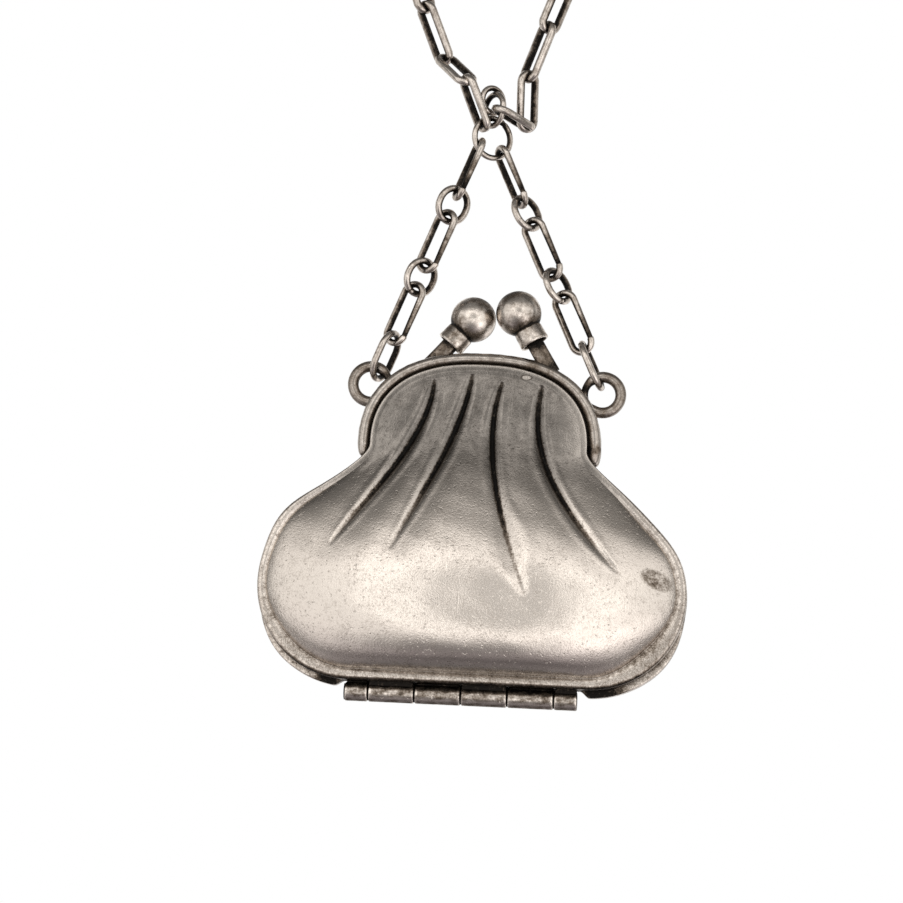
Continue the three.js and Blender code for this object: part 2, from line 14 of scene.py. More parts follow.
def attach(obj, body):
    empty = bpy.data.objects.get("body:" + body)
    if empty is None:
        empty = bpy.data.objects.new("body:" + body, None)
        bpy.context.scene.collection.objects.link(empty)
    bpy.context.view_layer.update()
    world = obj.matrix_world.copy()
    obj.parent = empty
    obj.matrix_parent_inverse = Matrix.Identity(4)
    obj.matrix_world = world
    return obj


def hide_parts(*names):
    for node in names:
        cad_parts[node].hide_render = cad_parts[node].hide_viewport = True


bl_info = {
    "name": "Purse Necklace",
    "version": (1, 0, 0),
    "blender": (4, 5, 0),
    "location": "View3D > Sidebar > Purse Necklace",
    "description": "Makes a silver purse locket with a kiss clasp and its chains on the CAD frame",
    "category": "Object",
}

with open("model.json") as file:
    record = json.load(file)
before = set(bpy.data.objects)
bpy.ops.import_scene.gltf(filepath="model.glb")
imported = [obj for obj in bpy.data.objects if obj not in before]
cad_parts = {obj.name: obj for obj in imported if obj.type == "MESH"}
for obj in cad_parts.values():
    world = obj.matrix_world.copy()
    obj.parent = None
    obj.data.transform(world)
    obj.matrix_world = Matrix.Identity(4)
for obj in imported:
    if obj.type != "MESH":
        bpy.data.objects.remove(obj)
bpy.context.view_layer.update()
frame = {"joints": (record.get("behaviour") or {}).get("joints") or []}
JOINTS = {joint["name"]: joint for joint in frame["joints"]}

# Sizes of the CAD model in millimetres, with heights from the hinge axis
MM = 0.001
PURSE_Z = JOINTS["purse_open"]["pos_m"][2] / MM
GAP = 0.12
SEAM_GAP = 0.14

# The side of the seam, along Y, on which each half lies
SIDES = {"front": -1, "back": 1}

# Outline of a panel: a straight bottom, round bulbs, a waist and an arched neck
BODY_BOTTOM = 0.98
BULB_X = 10.6
BULB_RADIUS = 8.4
BULB_Z = BODY_BOTTOM + BULB_RADIUS
BULB_END_DEG = 36
SHOULDER_PULL = 4.2
WAIST_PULL = 1.6
NECK_HALF_WIDTH = 9.55
NECK_Z = 22.0
NECK_RISE = 7.4
NECK_POWER = 2.4

# Unevenness of hand work: a fuller left shoulder, and the back half's edge lower beside the hinge
LEFT_SHOULDER = 0.6
RIGHT_SHOULDER = -0.2
SHOULDER_Z = 15.6
SHOULDER_REACH = 2.5
SHOULDER_PUSH = (0.66, 0.75)
SHOULDER_START = (0.6, 1.0)
BACK_CORNERS = (0.6, 0.52)
BACK_CORNER_START = (10.42, 11.3)
WEDGE_FADE = (12.0, 14.5)

# Edge of a panel: its rim, the flange round the belly and the crease inside that
WALL = 0.85
RIM_WIDTH = 0.95
SEAM_LIP = ((1.36, 0.33), (1.34, -0.12), (1.16, -0.12), (1.14, 0.2))
FLANGE_DEPTH = 1.5
FLANGE_EDGE = 0.32
FLANGE_FADE = (16.0, 21.0)
FLANGE_SIDE = 0.8
FLANGE_SIDE_LEAN = 0.08
FLANGE_BOTTOM = 0.98
FLANGE_CORNERS = (0.6, 0.22)
FLANGE_PLACES = (0.25, 0.5, 0.68, 0.8, 0.88, 0.94)
FLANGE_FALL = (0.45, 1.0)
NECK_EDGE = 0.12
NECK_GROWTH = 0.1
EDGE_LIMIT = 0.62
CREASE_DEPTH = 1.25
VALLEY_DEPTH = 1.4
CREASE_DEPTH_NECK = 1.5
CREASE_INSET_NECK = 0.45
INNER_CREASE_INSET = 1.65
INNER_CREASE_DEPTH = 0.55

# How far a stretch of the outline faces down or right, from 0 to 1 between two leans
FACING_DOWN = (0.45, 0.95)
BOTTOM_CORNERS = (0.1, 0.8)
LOWER_SIDE = (-0.3, 0.6)
RIGHT_SIDE = (0.2, 0.9)

# Dome of a panel, with a straight roll along its bottom
BELLY_RISE = 4.6
NECK_DOME = 0.55
DOME_POWER = 2.3
DOME_FADE = (9.3, 25.3)
DOME_EDGE = 0.16
DOME_EDGE_POWER = 1.8
SIDE_EDGE_POWER = 1.22
SPINE_LOW = 7.0
SPINE_HIGH = 24.5
BOTTOM_ROLL = 5.2
BOTTOM_POWER = 3.0
ROLL_LEAN = 0.035

# Pleats as Bezier points in (x, z) from the top to the tip, and how far the tip opens out
PLEATS = (
    ((-4.2, 28.0), (-4.2, 23.5), (-8.3, 18.6), (-12.5, 12.4), 0.0),
    ((-0.85, 28.6), (-1.1, 24.4), (-4.3, 18.1), (-7.05, 12.1), 0.0),
    ((1.9, 28.0), (0.25, 22.6), (1.9, 16.4), (5.05, 8.5), 2.2),
    ((5.5, 28.0), (4.4, 23.1), (5.8, 18.3), (13.1, 10.9), 0.3),
)
PLEAT_CORE = 0.37
PLEAT_TIP = (0.5, 0.85)
PLEAT_CORE_FADE = (0.55, 0.95)
PLEAT_WEDGE_POWER = 1.15
PLEAT_PLACE_POWER = 0.68
PLEAT_LEAF_POWER = 0.75
PLEAT_LIP_HEIGHT = 0.16
PLEAT_LIP_PLACE = 1.45
PLEAT_LIP_WIDTH = 0.5
SWELL_REACH = 1.7
RELIEF_START = 0.1

# Oxide and painted shade on a panel, from 0, bright, to 1, black, with a painted highlight below 0
HOLLOW_OXIDE = 0.42
SEAM_LIP_OXIDE = 0.6
VALLEY_OXIDE_AND_SHADE = 0.16
VALLEY_OXIDE_ALL = 0.05
VALLEY_REACH = 0.3
FLANGE_OXIDE = 0.16
LOWER_FLANGE_SHADE = 0.08
CORNER_FLANGE_SHADE = 0.1
UNDER_SHADOW = 0.75
LIP_HIGHLIGHT = 0.5

# Rings from a panel's hollow over its rim: reach inwards, whether it follows the back's corners, rise off
# the seam, and oxide everywhere, painted shadow underneath, oxide beside the hinge and painted shadow in
# the wedge at the hinge's ends
RIM_RINGS = (
    (RIM_WIDTH + 0.12, 0, 0.12, 0.4, 0.0, 0.0, 0.0),
    (RIM_WIDTH, 0, 0.03, 0.3, 0.0, 0.0, 0.0),
    (RIM_WIDTH - 0.06, 0, 0.0, 0.3, 0.0, 0.0, 0.0),
    (0.1, 0, 0.0, 0.45, 0.0, 0.0, 0.55),
    (0.16, 1, 0.0, 0.45, 0.0, -0.25, 0.8),
    (0.02, 1, 0.02, 0.45, 0.0, -0.3, 0.8),
    (0.0, 1, 0.08, 0.5, 0.5, -0.4, 0.8),
    (0.0, 1, 0.3, 0.25, 0.7, -0.15, 0.7),
)
# Oxide of the two rings outside the flange everywhere, and painted shadow underneath
OUTER_OXIDE_AND_SHADOW = ((0.15, 0.6), (0.14, 0.2))

# Frame wires, with solder lumps given by place in (x, z), reach and size
FRAME_WIRE = 0.55
FRAME_Y = 0.63
FRAME_HALF_WIDTH = 10.3
FRAME_RISE = 8.1
FRAME_END_DEG = 14
SHOULDER_GAP = 0.17
WIRE_END_REACH = 0.12
WIRE_END_SIZE = 0.2
WIRE_TAPER = 1.3
WIRE_SHARE = 0.985
SOLDER = {
    "front": (((4.6, 29.75), 0.55, 0.1), ((5.9, 29.3), 0.4, 0.08), ((10.25, 22.3), 0.5, 0.09)),
    "back": (((-6.2, 29.2), 0.6, 0.08), ((-10.25, 23.0), 0.5, 0.08)),
}
STRIP_END_DEG = 2
STRIP_INNER = 0.05
STRIP_OUTER = 0.3
STRIP_HALF_DEPTH = 0.12

# Bails beside the neck: side, x and z of the middle
BAILS = {"left": (-1, 10.05, 27.7), "right": (1, 10.73, 27.5)}
BAIL_Y = 0.55
BAIL_RADIUS = 1.62
BAIL_WIRE = 0.5
BAIL_SHARE = 0.98
BAIL_PINCH = 0.32
SWING_Z = 29.05

# Clasp posts from the foot on the wire to the middle of the ball, and the balls on their collars
CLASP_POSTS = {
    "front": ((6.15, -0.52, 29.1), (2.95, -0.5, 34.4)),
    "back": ((-4.8, 0.52, 29.6), (-1.15, 0.5, 33.9)),
}
POST_RADIUS = 0.8
POST_FLATNESS = 0.52
POST_POWER = 0.7
BALL_RADIUS = 2.03
BALL_STEPS = 44
COLLAR_RADIUS = 1.33
COLLAR_BORE = 1.06
COLLAR_LIP = 3.1
COLLAR_FLOOR = 1.8

# Sections of a clasp post from its foot to its end in the collar: place, size and oxide
POST_SECTIONS = (
    (0.0, 0.0, 0.5),
    (0.0, 1.0, 0.6),
    (0.12, 0.98, 0.55),
    (0.3, 0.96, 0.3),
    (0.5, 0.95, 0.3),
    (0.62, 0.95, 0.6),
    (0.75, 0.95, 0.9),
    (0.97, 0.95, 1.0),
    (1.0, 0.85, 1.0),
    (1.0, 0.0, 1.0),
)

# Hinge: knuckles from left to right with their lengths, the leaves behind them and the pin
HINGE_X = -0.5
KNUCKLES = (("back", 2.1), ("front", 4.1), ("back", 4.1), ("front", 4.1), ("back", 4.1), ("front", 2.1))
HINGE_LENGTH = sum(length for half, length in KNUCKLES)
HINGE_STRIP = ((0.52, 0.68), (0.78, 1.05))
HINGE_STRIP_BEVEL = 0.03
BARREL_RADIUS = 0.82
BARREL_BORE = 0.44
BARREL_CORE = 0.72
BARREL_BEVEL = 0.09
BARREL_STEPS = 9
BARREL_OXIDE = 0.4
BARREL_BLOTCH = 0.3
BARREL_TOP_SHADE = 0.6
KNUCKLE_PLAY = 0.03
HIGHLIGHT_LINE_DEG = 222
HIGHLIGHT_LINE_WIDTH = 0.2
HIGHLIGHT_LINE_SHINE = 0.4
PIN_RADIUS = 0.34
PIN_SIDES = 32
LEAF_NEAR = 0.16
LEAF_FAR = 0.78
LEAF_LOW = 0.56
LEAF_HIGH = 1.4
LEAF_BEVEL = 0.06

# Links of a handle chain from the bail up: inner length, half width, turn on the left and on the right
HANDLE_WIRE = 0.31
HANDLE_CHAIN = (
    ("bail_ring", 3.7, 1.55, 72, 82),
    ("link_1", 5.08, 0.94, -25, -20),
    ("ring_1", 2.45, 1.46, 45, 55),
    ("link_2", 5.08, 0.94, -30, -25),
    ("ring_2", 2.45, 1.46, 40, 50),
    ("link_3", 5.08, 0.94, None, None),
)

# Junction rings as radius and turn, and where the handle chains and the side ring hang on them
JUNCTION_WIRE = 0.27
FRONT_RING = (1.82, 33)
REAR_RING = (1.45, -50)
SIDE_RING = (1.15, 40)
FRONT_CENTRE = Vector((-0.28, 0.32, 50.65))
HANDLE_HANG_DEG = {"left": -50, "right": 38}
SIDE_RING_HANG_DEG = 190

# Necklace, with the side of each strand, where it hangs on its ring and its first free points
NECKLACE_LENGTH = 406
NECKLACE_LEAN_DEG = 20
LINK_WIRE = 0.325
LINK_HALF_WIDTH = 0.83
LINK_PITCH = 4.85
LINK_FUSE = 0.06
LINK_TURN_DEG = 45
NO_SEAM = -1.0
CLASP_RADIUS = 2.6
CLASP_WIRE = 0.3
STRANDS = {
    "left": (-1, -140, ((-2.45, -1.5, 4.9), (-4.8, 0.9, 7.5), (-6.75, 0.1, 12.1))),
    "right": (1, 75, ((2.95, 1.5, 1.6), (2.95, 0.4, 5.95), (4.55, 0, 10.5))),
}

# How finely the meshes are cut
OUTLINE_STEPS = 320
PATH_STEPS = 400
PLEAT_STEPS = 240
HOLLOW_STEPS = 12
EDGE_STEPS = 25
DOME_STEPS = 78
WIRE_SIDES = 28
ARCH_STEPS = 220
LATHE_SIDES = 72
BARREL_SIDES = 96
MERGE_DISTANCE = 1e-7

# The picture in pixels, and where the purse's neck lies in it
IMAGE_SIZE = 903
AIM_PIXEL = (479.19, 450.21)
SENSOR_WIDTH = 36.0

X_AXIS = Vector((1, 0, 0))
Y_AXIS = Vector((0, 1, 0))
Z_AXIS = Vector((0, 0, 1))


class ShellSettings(PropertyGroup):
    """Relief that is pressed into the purse's two panels."""

    pleat_depth: FloatProperty(
        name="Pleat depth",
        description="How deep the line of each pleat is pressed",
        default=0.0004,
        min=0.0,
        unit="LENGTH",
    )
    pleat_width: FloatProperty(
        name="Pleat width",
        description="Half of the widest part of each pleat's groove",
        default=0.00056,
        min=0.0001,
        unit="LENGTH",
    )
    fold_swell: FloatProperty(
        name="Fold swell",
        description="How far the metal sinks softly on both sides of a pleat",
        default=0.0003,
        min=0.0,
        unit="LENGTH",
    )
    dent_depth: FloatProperty(
        name="Dent depth",
        description="Depth of the shallow dents from use",
        default=0.00002,
        min=0.0,
        unit="LENGTH",
    )


class FinishSettings(PropertyGroup):
    """Colours of the old silver."""

    silver: FloatVectorProperty(
        name="Silver",
        description="Rubbed silver",
        default=(0.745, 0.686, 0.626),
        subtype="COLOR",
        min=0.0,
        max=1.0,
    )
    tarnish: FloatVectorProperty(
        name="Tarnish",
        description="Brown film over dull silver",
        default=(0.17, 0.135, 0.105),
        subtype="COLOR",
        min=0.0,
        max=1.0,
    )
    # Black of the oxide, which also lays the painted shade where the mesh asks for it
    oxide: FloatVectorProperty(
        name="Oxide",
        description="Black oxide that stays in the recesses",
        default=(0.009, 0.007, 0.0055),
        subtype="COLOR",
        min=0.0,
        max=1.0,
    )
    grain: FloatProperty(
        name="Grain",
        description="Height of the fine grain of the worn surface",
        default=0.00002,
        min=0.0,
        unit="LENGTH",
    )


class ChainSettings(PropertyGroup):
    """How finely the chain's links are made."""

    ring_steps: IntProperty(
        name="Ring steps",
        description="Points round one link of the handle chains",
        default=96,
        min=12,
    )
    necklace_steps: IntProperty(
        name="Necklace steps",
        description="Points round one link of the necklace",
        default=32,
        min=12,
    )
    wire_sides: IntProperty(
        name="Wire sides",
        description="Points round the wire",
        default=12,
        min=6,
    )
    squareness: FloatProperty(
        name="Squareness",
        description="How flat the sides of the necklace's wire are",
        default=0.8,
        min=0.0,
        max=1.0,
        subtype="FACTOR",
    )


class StageSettings(PropertyGroup):
    """Camera, floor and light."""

    azimuth: FloatProperty(
        name="Azimuth",
        description="Turn of the camera to the right of the purse's front",
        default=math.radians(4.96),
        subtype="ANGLE",
    )
    elevation: FloatProperty(
        name="Elevation",
        description="Height of the camera above the purse",
        default=math.radians(-8.92),
        subtype="ANGLE",
    )
    roll: FloatProperty(
        name="Roll",
        description="Turn of the camera about its own view",
        default=math.radians(3.03),
        subtype="ANGLE",
    )
    distance: FloatProperty(
        name="Distance",
        description="From the camera to the purse's neck",
        default=0.3,
        min=0.05,
        unit="LENGTH",
    )
    view_width: FloatProperty(
        name="View width",
        description="Width of the picture at the purse",
        default=0.08041,
        min=0.01,
        unit="LENGTH",
    )
    floor_height: FloatProperty(
        name="Floor height",
        description="Height of the floor below the nape",
        default=-0.3,
        unit="LENGTH",
    )
    floor_colour: FloatVectorProperty(
        name="Floor colour",
        description="Pale colour of the floor",
        default=(0.86, 0.855, 0.845),
        subtype="COLOR",
        min=0.0,
        max=1.0,
    )


def settings_of(name):
    return getattr(bpy.context.scene, "purse_necklace_" + name)


class Socket:
    """An output of a node that adds Math nodes when it is used in a sum."""

    def __init__(self, board, output):
        self.board = board
        self.output = output

    def maths(self, operation, *values):
        return self.board.add("ShaderNodeMath", {"operation": operation}, dict(enumerate(values)))

    def __add__(self, other):
        return self.maths("ADD", self, other)

    def __radd__(self, other):
        return self.maths("ADD", other, self)

    def __sub__(self, other):
        return self.maths("SUBTRACT", self, other)

    def __rsub__(self, other):
        return self.maths("SUBTRACT", other, self)

    def __mul__(self, other):
        return self.maths("MULTIPLY", self, other)

    def __rmul__(self, other):
        return self.maths("MULTIPLY", other, self)

    def __truediv__(self, other):
        return self.maths("DIVIDE", self, other)

    def __pow__(self, other):
        return self.maths("POWER", self, other)

    def __abs__(self):
        return self.maths("ABSOLUTE", self)

    def sign(self):
        return self.maths("SIGN", self)

    def clamped(self):
        return self.board.add("ShaderNodeClamp", {}, {"Value": self, "Min": 0.0, "Max": 1.0})

    def ramp(self, low, high):
        """0 below low and 1 above high, with a smooth step between them."""
        values = {"Value": self, "From Min": low, "From Max": high, "To Min": 0.0, "To Max": 1.0}
        return self.board.add("ShaderNodeMapRange", {"interpolation_type": "SMOOTHSTEP"}, values)

    def hill(self, centre, width):
        """A smooth rise to 1 round a centre."""
        return 1 - abs(self - centre).ramp(0.0, width)


class Board:
    """A node tree that is filled from Python."""

    def __init__(self, tree):
        self.tree = tree
        self.tree.nodes.clear()

    def add(self, kind, settings, sockets, output=0):
        """Adds a node: its settings come first, then the values and links of its sockets."""
        node = self.tree.nodes.new(kind)
        for key, value in settings.items():
            if key == "stops":
                self.set_stops(node.color_ramp, value)
            else:
                setattr(node, key, value)
        for key, value in sockets.items():
            if isinstance(value, Socket):
                self.tree.links.new(value.output, node.inputs[key])
            else:
                node.inputs[key].default_value = value
        return Socket(self, node.outputs[output]) if node.outputs else node

    def set_stops(self, ramp, stops):
        while len(ramp.elements) < len(stops):
            ramp.elements.new(1.0)
        for element, (place, value) in zip(ramp.elements, stops):
            element.position = place
            element.color = colour(value)

    def mix(self, factor, first, second):
        """A blend of two colours."""
        values = {0: factor, 6: first, 7: second}
        return self.add("ShaderNodeMix", {"data_type": "RGBA"}, values, 2)

    def vector(self, operation, *values):
        return self.add("ShaderNodeVectorMath", {"operation": operation}, dict(enumerate(values)))

    def scaled(self, vector, amount):
        return self.add("ShaderNodeVectorMath", {"operation": "SCALE"}, {0: vector, "Scale": amount})

    def parts(self, vector):
        node = self.add("ShaderNodeSeparateXYZ", {}, {0: vector}).output.node
        return [Socket(self, output) for output in node.outputs]

    def noise(self, where, scale, detail=2.0, rough=0.5):
        values = {"Vector": where, "Scale": scale, "Detail": detail, "Roughness": rough}
        return self.add("ShaderNodeTexNoise", {}, values)

    def surface(self, sockets):
        """Ends a material in one shader."""
        shader = self.add("ShaderNodeBsdfPrincipled", {}, sockets)
        self.add("ShaderNodeOutputMaterial", {}, {"Surface": shader})


def colour(rgb):
    return (*rgb, 1.0)


def new_material(name):
    material = bpy.data.materials.new(name)
    material.use_nodes = True
    return material, Board(material.node_tree)


def oval(across, up, place, size):
    """Squared distance from a place, as a share of an oval's half sizes."""
    return ((across - place[0]) / size[0]) ** 2.0 + ((up - place[1]) / size[1]) ** 2.0


# Patterns of the old silver in waves a metre, from wide clouds of film to fine grain
CLOUD_SCALE = 260.0
DRIFT_SCALE = 420.0
MOTTLE_SCALE = 1500.0
PIT_SCALE = 3300.0
SCRATCH_SCALE = 4200.0
GRAIN_SCALE = 6500.0
SCRATCH_TURN = (0.3, 0.5, 0.9)
SCRATCH_STRETCH = (1.0, 1.0, 0.03)

# Where a pattern, or the film of tarnish and painted shade, starts to show, and where it shows in full
PITS = (0.66, 0.74)
SCRATCHES = (0.7, 0.78)
BROWN_FILM = (-0.1, 0.7)
BLACK_FILM = (0.5, 0.98)
DULL_FILM = (0.45, 1.0)

# How much less metallic a full film is, and how far what isn't metal mirrors
DULL_METAL = 0.55
SPECULAR_LEVEL = 0.15

# Marks on the panels, placed in millimetres: the neck, darkened by tarnish and painted shade and lifted at
# one spot by a painted highlight, and the front's stain and solder spot
NECK_TARNISH_AND_SHADE_HEIGHTS = (13.5, 22.0)
NECK_TARNISH_AND_SHADE = 0.2
CORNER_HIGHLIGHT = 0.35
CORNER_HIGHLIGHT_X = (6.0, 9.0)
CORNER_HIGHLIGHT_Z = (20.5, 22.5)
STAIN_PLACE = (16.3, 10.7)
STAIN_SIZE = (1.35, 0.85)
STAIN_LEAN = 0.3
STAIN_WOBBLE = 1.6
STAIN_FILM = 0.465
SPOT_PLACE = (4.0, 28.45)
SPOT_SIZE = (0.45, 0.22)
FRONT_FADE = 0.5


def old_silver(name, shade=1.0, dullness=0.0, rough=0.3, grit=1.0, patches=1.8, is_panel=False):
    """Worn silver with fine grain and pits, and the oxide and painted shade that the mesh carries, lighter
    where it paints a highlight.
    """
    finish = settings_of("finish")
    material, board = new_material(name)
    where = board.add("ShaderNodeTexCoord", {}, {}, 3)
    oxide = board.add("ShaderNodeAttribute", {"attribute_name": "oxide"}, {}, 2)
    cloud = board.noise(where, CLOUD_SCALE, 4.0, 0.6) - 0.5
    mottle = board.noise(where, MOTTLE_SCALE, 3.0, 0.65) - 0.5
    grain = board.noise(where, GRAIN_SCALE, 2.0, 0.7) - 0.5
    pits = board.noise(where, PIT_SCALE, 1.0).ramp(*PITS)
    stretch = {"Vector": where, "Rotation": SCRATCH_TURN, "Scale": SCRATCH_STRETCH}
    stretched = board.add("ShaderNodeMapping", {}, stretch)
    scratches = board.noise(stretched, SCRATCH_SCALE, 1.0).ramp(*SCRATCHES)
    film_and_shade = dullness + patches * (0.3 * cloud + 0.5 * mottle) + 0.9 * grit * grain
    film_and_shade = film_and_shade + oxide * (1.0 + 0.5 * mottle) + 0.08 * pits
    if is_panel:
        film_and_shade, neck = panel_marks(board, where, mottle, film_and_shade)
        # Where the mesh paints a highlight as negative oxide, the neck is not darkened
        neck = neck * (1 - (-1 * oxide).clamped())
    film_and_shade = film_and_shade.clamped()
    silver = colour([value * shade for value in finish.silver])
    brown = board.mix(film_and_shade.ramp(*BROWN_FILM), silver, colour(finish.tarnish))
    base = board.mix(film_and_shade.ramp(*BLACK_FILM), brown, colour(finish.oxide))
    # Darkens the neck with tarnish and painted shade
    if is_panel:
        base = board.mix(neck, base, board.scaled(base, NECK_TARNISH_AND_SHADE))
    roughness = rough + 0.25 * film_and_shade + 0.1 * mottle + 0.15 * grain - 0.05 * scratches
    height = grit * grain + 0.5 * mottle - 0.9 * grit * pits - 0.4 * scratches
    bump = {"Strength": 1.0, "Distance": finish.grain, "Height": height}
    board.surface({
        "Base Color": base,
        "Roughness": roughness.clamped(),
        "Metallic": 1 - DULL_METAL * film_and_shade.ramp(*DULL_FILM),
        "Normal": board.add("ShaderNodeBump", {}, bump),
        "Specular IOR Level": SPECULAR_LEVEL,
    })
    return material


def panel_marks(board, where, mottle, film_and_shade):
    """Adds the front's stain and solder spot to a panel's film, and says how far the neck is darkened by
    tarnish and painted shade.
    """
    x, y, z = board.parts(where)
    across = x / MM
    height = z / MM - PURSE_Z
    drift = board.noise(where, DRIFT_SCALE, 3.0, 0.6) - 0.5
    # Tarnish and painted shade on the neck, lifted by a painted highlight at one spot on its right
    neck = height.ramp(*NECK_TARNISH_AND_SHADE_HEIGHTS) * (0.9 + 0.3 * mottle + 0.4 * drift)
    neck = neck * (1 - CORNER_HIGHLIGHT * across.ramp(*CORNER_HIGHLIGHT_X) * height.ramp(*CORNER_HIGHLIGHT_Z))
    is_front = 1 - (y / MM).ramp(-FRONT_FADE, FRONT_FADE)
    leaning = height + STAIN_LEAN * (across - STAIN_PLACE[0])
    stain_reach = oval(across, leaning, STAIN_PLACE, STAIN_SIZE) + STAIN_WOBBLE * mottle
    stain = (1 - stain_reach.ramp(0.5, 1.5)) * is_front * (STAIN_FILM + 0.9 * mottle)
    spot_reach = oval(across, height, SPOT_PLACE, SPOT_SIZE)
    spot = (1 - spot_reach.ramp(0.5, 0.9)) * is_front
    spot_edge = spot_reach.hill(1.15, 0.7) * is_front
    return (film_and_shade + stain + 0.5 * spot_edge) * (1 - spot), neck * (1 - 0.45 * spot)


def smoothstep(value, low, high):
    share = np.clip((value - low) / (high - low), 0.0, 1.0)
    return share * share * (3.0 - 2.0 * share)


def bezier(points, share):
    a, b, c, d = [np.asarray(point, float) for point in points]
    t = share[:, None]
    return (1 - t) ** 3 * a + 3 * (1 - t) ** 2 * t * b + 3 * (1 - t) * t ** 2 * c + t ** 3 * d


def signed_power(value, power):
    """A power that keeps the value's sign."""
    return np.sign(value) * np.abs(value) ** power


def full_turn(sides):
    return np.linspace(0, 2 * math.pi, sides, endpoint=False)


def directions(line):
    """Unit vectors along a line of points."""
    along = np.gradient(line, axis=0)
    return along / np.linalg.norm(along, axis=1)[:, None]


def neck_arch(half_width, rise, degrees):
    """Points of the arch over the neck in (x, z)."""
    angle = np.radians(degrees)
    x = half_width * signed_power(np.cos(angle), 2 / NECK_POWER)
    z = NECK_Z + rise * signed_power(np.sin(angle), 2 / NECK_POWER)
    return np.stack([x, z], 1)


def resample(path, steps):
    """The same path with points that are evenly spaced."""
    lengths = np.linalg.norm(np.diff(path, axis=0), axis=1)
    travelled = np.concatenate([[0.0], np.cumsum(lengths)])
    even = np.linspace(0.0, travelled[-1], steps + 1)
    return np.stack([np.interp(even, travelled, path[:, axis]) for axis in range(path.shape[1])], 1)


def half_outline():
    """Right half of a panel's outline in (x, z), from the bottom centre to the top of the neck."""
    end = math.radians(BULB_END_DEG)
    turn = np.linspace(-math.pi / 2, end, PATH_STEPS)
    bulb = np.stack([BULB_X + BULB_RADIUS * np.cos(turn), BULB_Z + BULB_RADIUS * np.sin(turn)], 1)
    arm = bulb[-1]
    pulls = (
        arm,
        arm + SHOULDER_PULL * np.array([-math.sin(end), math.cos(end)]),
        (NECK_HALF_WIDTH, NECK_Z - WAIST_PULL),
        (NECK_HALF_WIDTH, NECK_Z),
    )
    waist = bezier(pulls, np.linspace(0, 1, PATH_STEPS))
    neck = neck_arch(NECK_HALF_WIDTH, NECK_RISE, np.linspace(0, 90, PATH_STEPS))
    path = np.concatenate([[(0.0, BODY_BOTTOM)], bulb, waist[1:], neck[1:]])
    return resample(path, OUTLINE_STEPS)


def whole_outline():
    right = half_outline()
    left = right[1:-1][::-1] * (-1, 1)
    return np.concatenate([right, left])


def inward_normals(outline):
    along = np.roll(outline, -1, axis=0) - np.roll(outline, 1, axis=0)
    along /= np.linalg.norm(along, axis=1)[:, None]
    return np.stack([-along[:, 1], along[:, 0]], 1)


OUTLINE = whole_outline()
INWARD = inward_normals(OUTLINE)


def inset(distance):
    """The outline moved inwards by one distance or by one for each point."""
    return OUTLINE + INWARD * np.broadcast_to(distance, len(OUTLINE))[:, None]


def flange_share(z):
    return 1 - smoothstep(z, *FLANGE_FADE)


def flange_width():
    """Width of the flat rim round the belly: narrow at the sides, and widest at the lower right."""
    lean_x, lean_z = -INWARD.T
    side = FLANGE_SIDE + FLANGE_SIDE_LEAN * lean_x
    width = side + (FLANGE_BOTTOM - side) * smoothstep(-lean_z, -0.1, 0.8)
    corner = np.clip(-2 * np.abs(lean_x) * lean_z, 0.0, 1.0) ** 1.5
    return width + corner * np.where(lean_x > 0, *FLANGE_CORNERS)


def half_width_at(crease, points):
    """Half of the crease's width at the height of each point, on the point's own side."""
    right = crease[:OUTLINE_STEPS + 1]
    left = np.concatenate([crease[OUTLINE_STEPS:], crease[:1]])[::-1]
    widths = [np.interp(points[:, 1], side[:, 1], np.abs(side[:, 0])) for side in (right, left)]
    return np.where(points[:, 0] >= 0, *widths)


def dome_height(points, crease, step, share):
    """Share of a panel's full rise over its crease, with a straight roll at the bottom."""
    round_rise = roundness(step, DOME_POWER, SIDE_EDGE_POWER)
    soft_rise = 1 - (1 - step) ** DOME_POWER
    rise = soft_rise + (round_rise - soft_rise) * share
    bottom = crease[:, 1].min()
    across = np.clip(np.abs(points[:, 0]) / half_width_at(crease, points), 0.0, 1.0)
    upward = np.clip((points[:, 1] - bottom) / (BOTTOM_ROLL - ROLL_LEAN * points[:, 0]), 0.0, 1.0)
    rolled = roundness(1 - across, DOME_POWER, SIDE_EDGE_POWER) * roundness(upward, BOTTOM_POWER)
    return np.where((crease[:, 1] < SPINE_LOW) & (step < 1.0), rolled, rise)


def dome_rise(z):
    return NECK_DOME + (BELLY_RISE - NECK_DOME) * (1 - smoothstep(z, *DOME_FADE))


def roundness(share, power=DOME_POWER, edge_power=None):
    return (1 - (1 - share) ** power) ** (1 / (edge_power or power))


def dome_points(crease, share):
    """Points a share of the way from the crease to the spine up the panel's middle."""
    spine = np.stack([np.zeros(len(crease)), np.clip(crease[:, 1], SPINE_LOW, SPINE_HIGH)], 1)
    return crease + (spine - crease) * share


def pleat_line(pleat):
    share = np.linspace(0, 1, PLEAT_STEPS)
    line = resample(bezier(pleat[:4], share), PLEAT_STEPS - 1)
    return line, directions(line), share


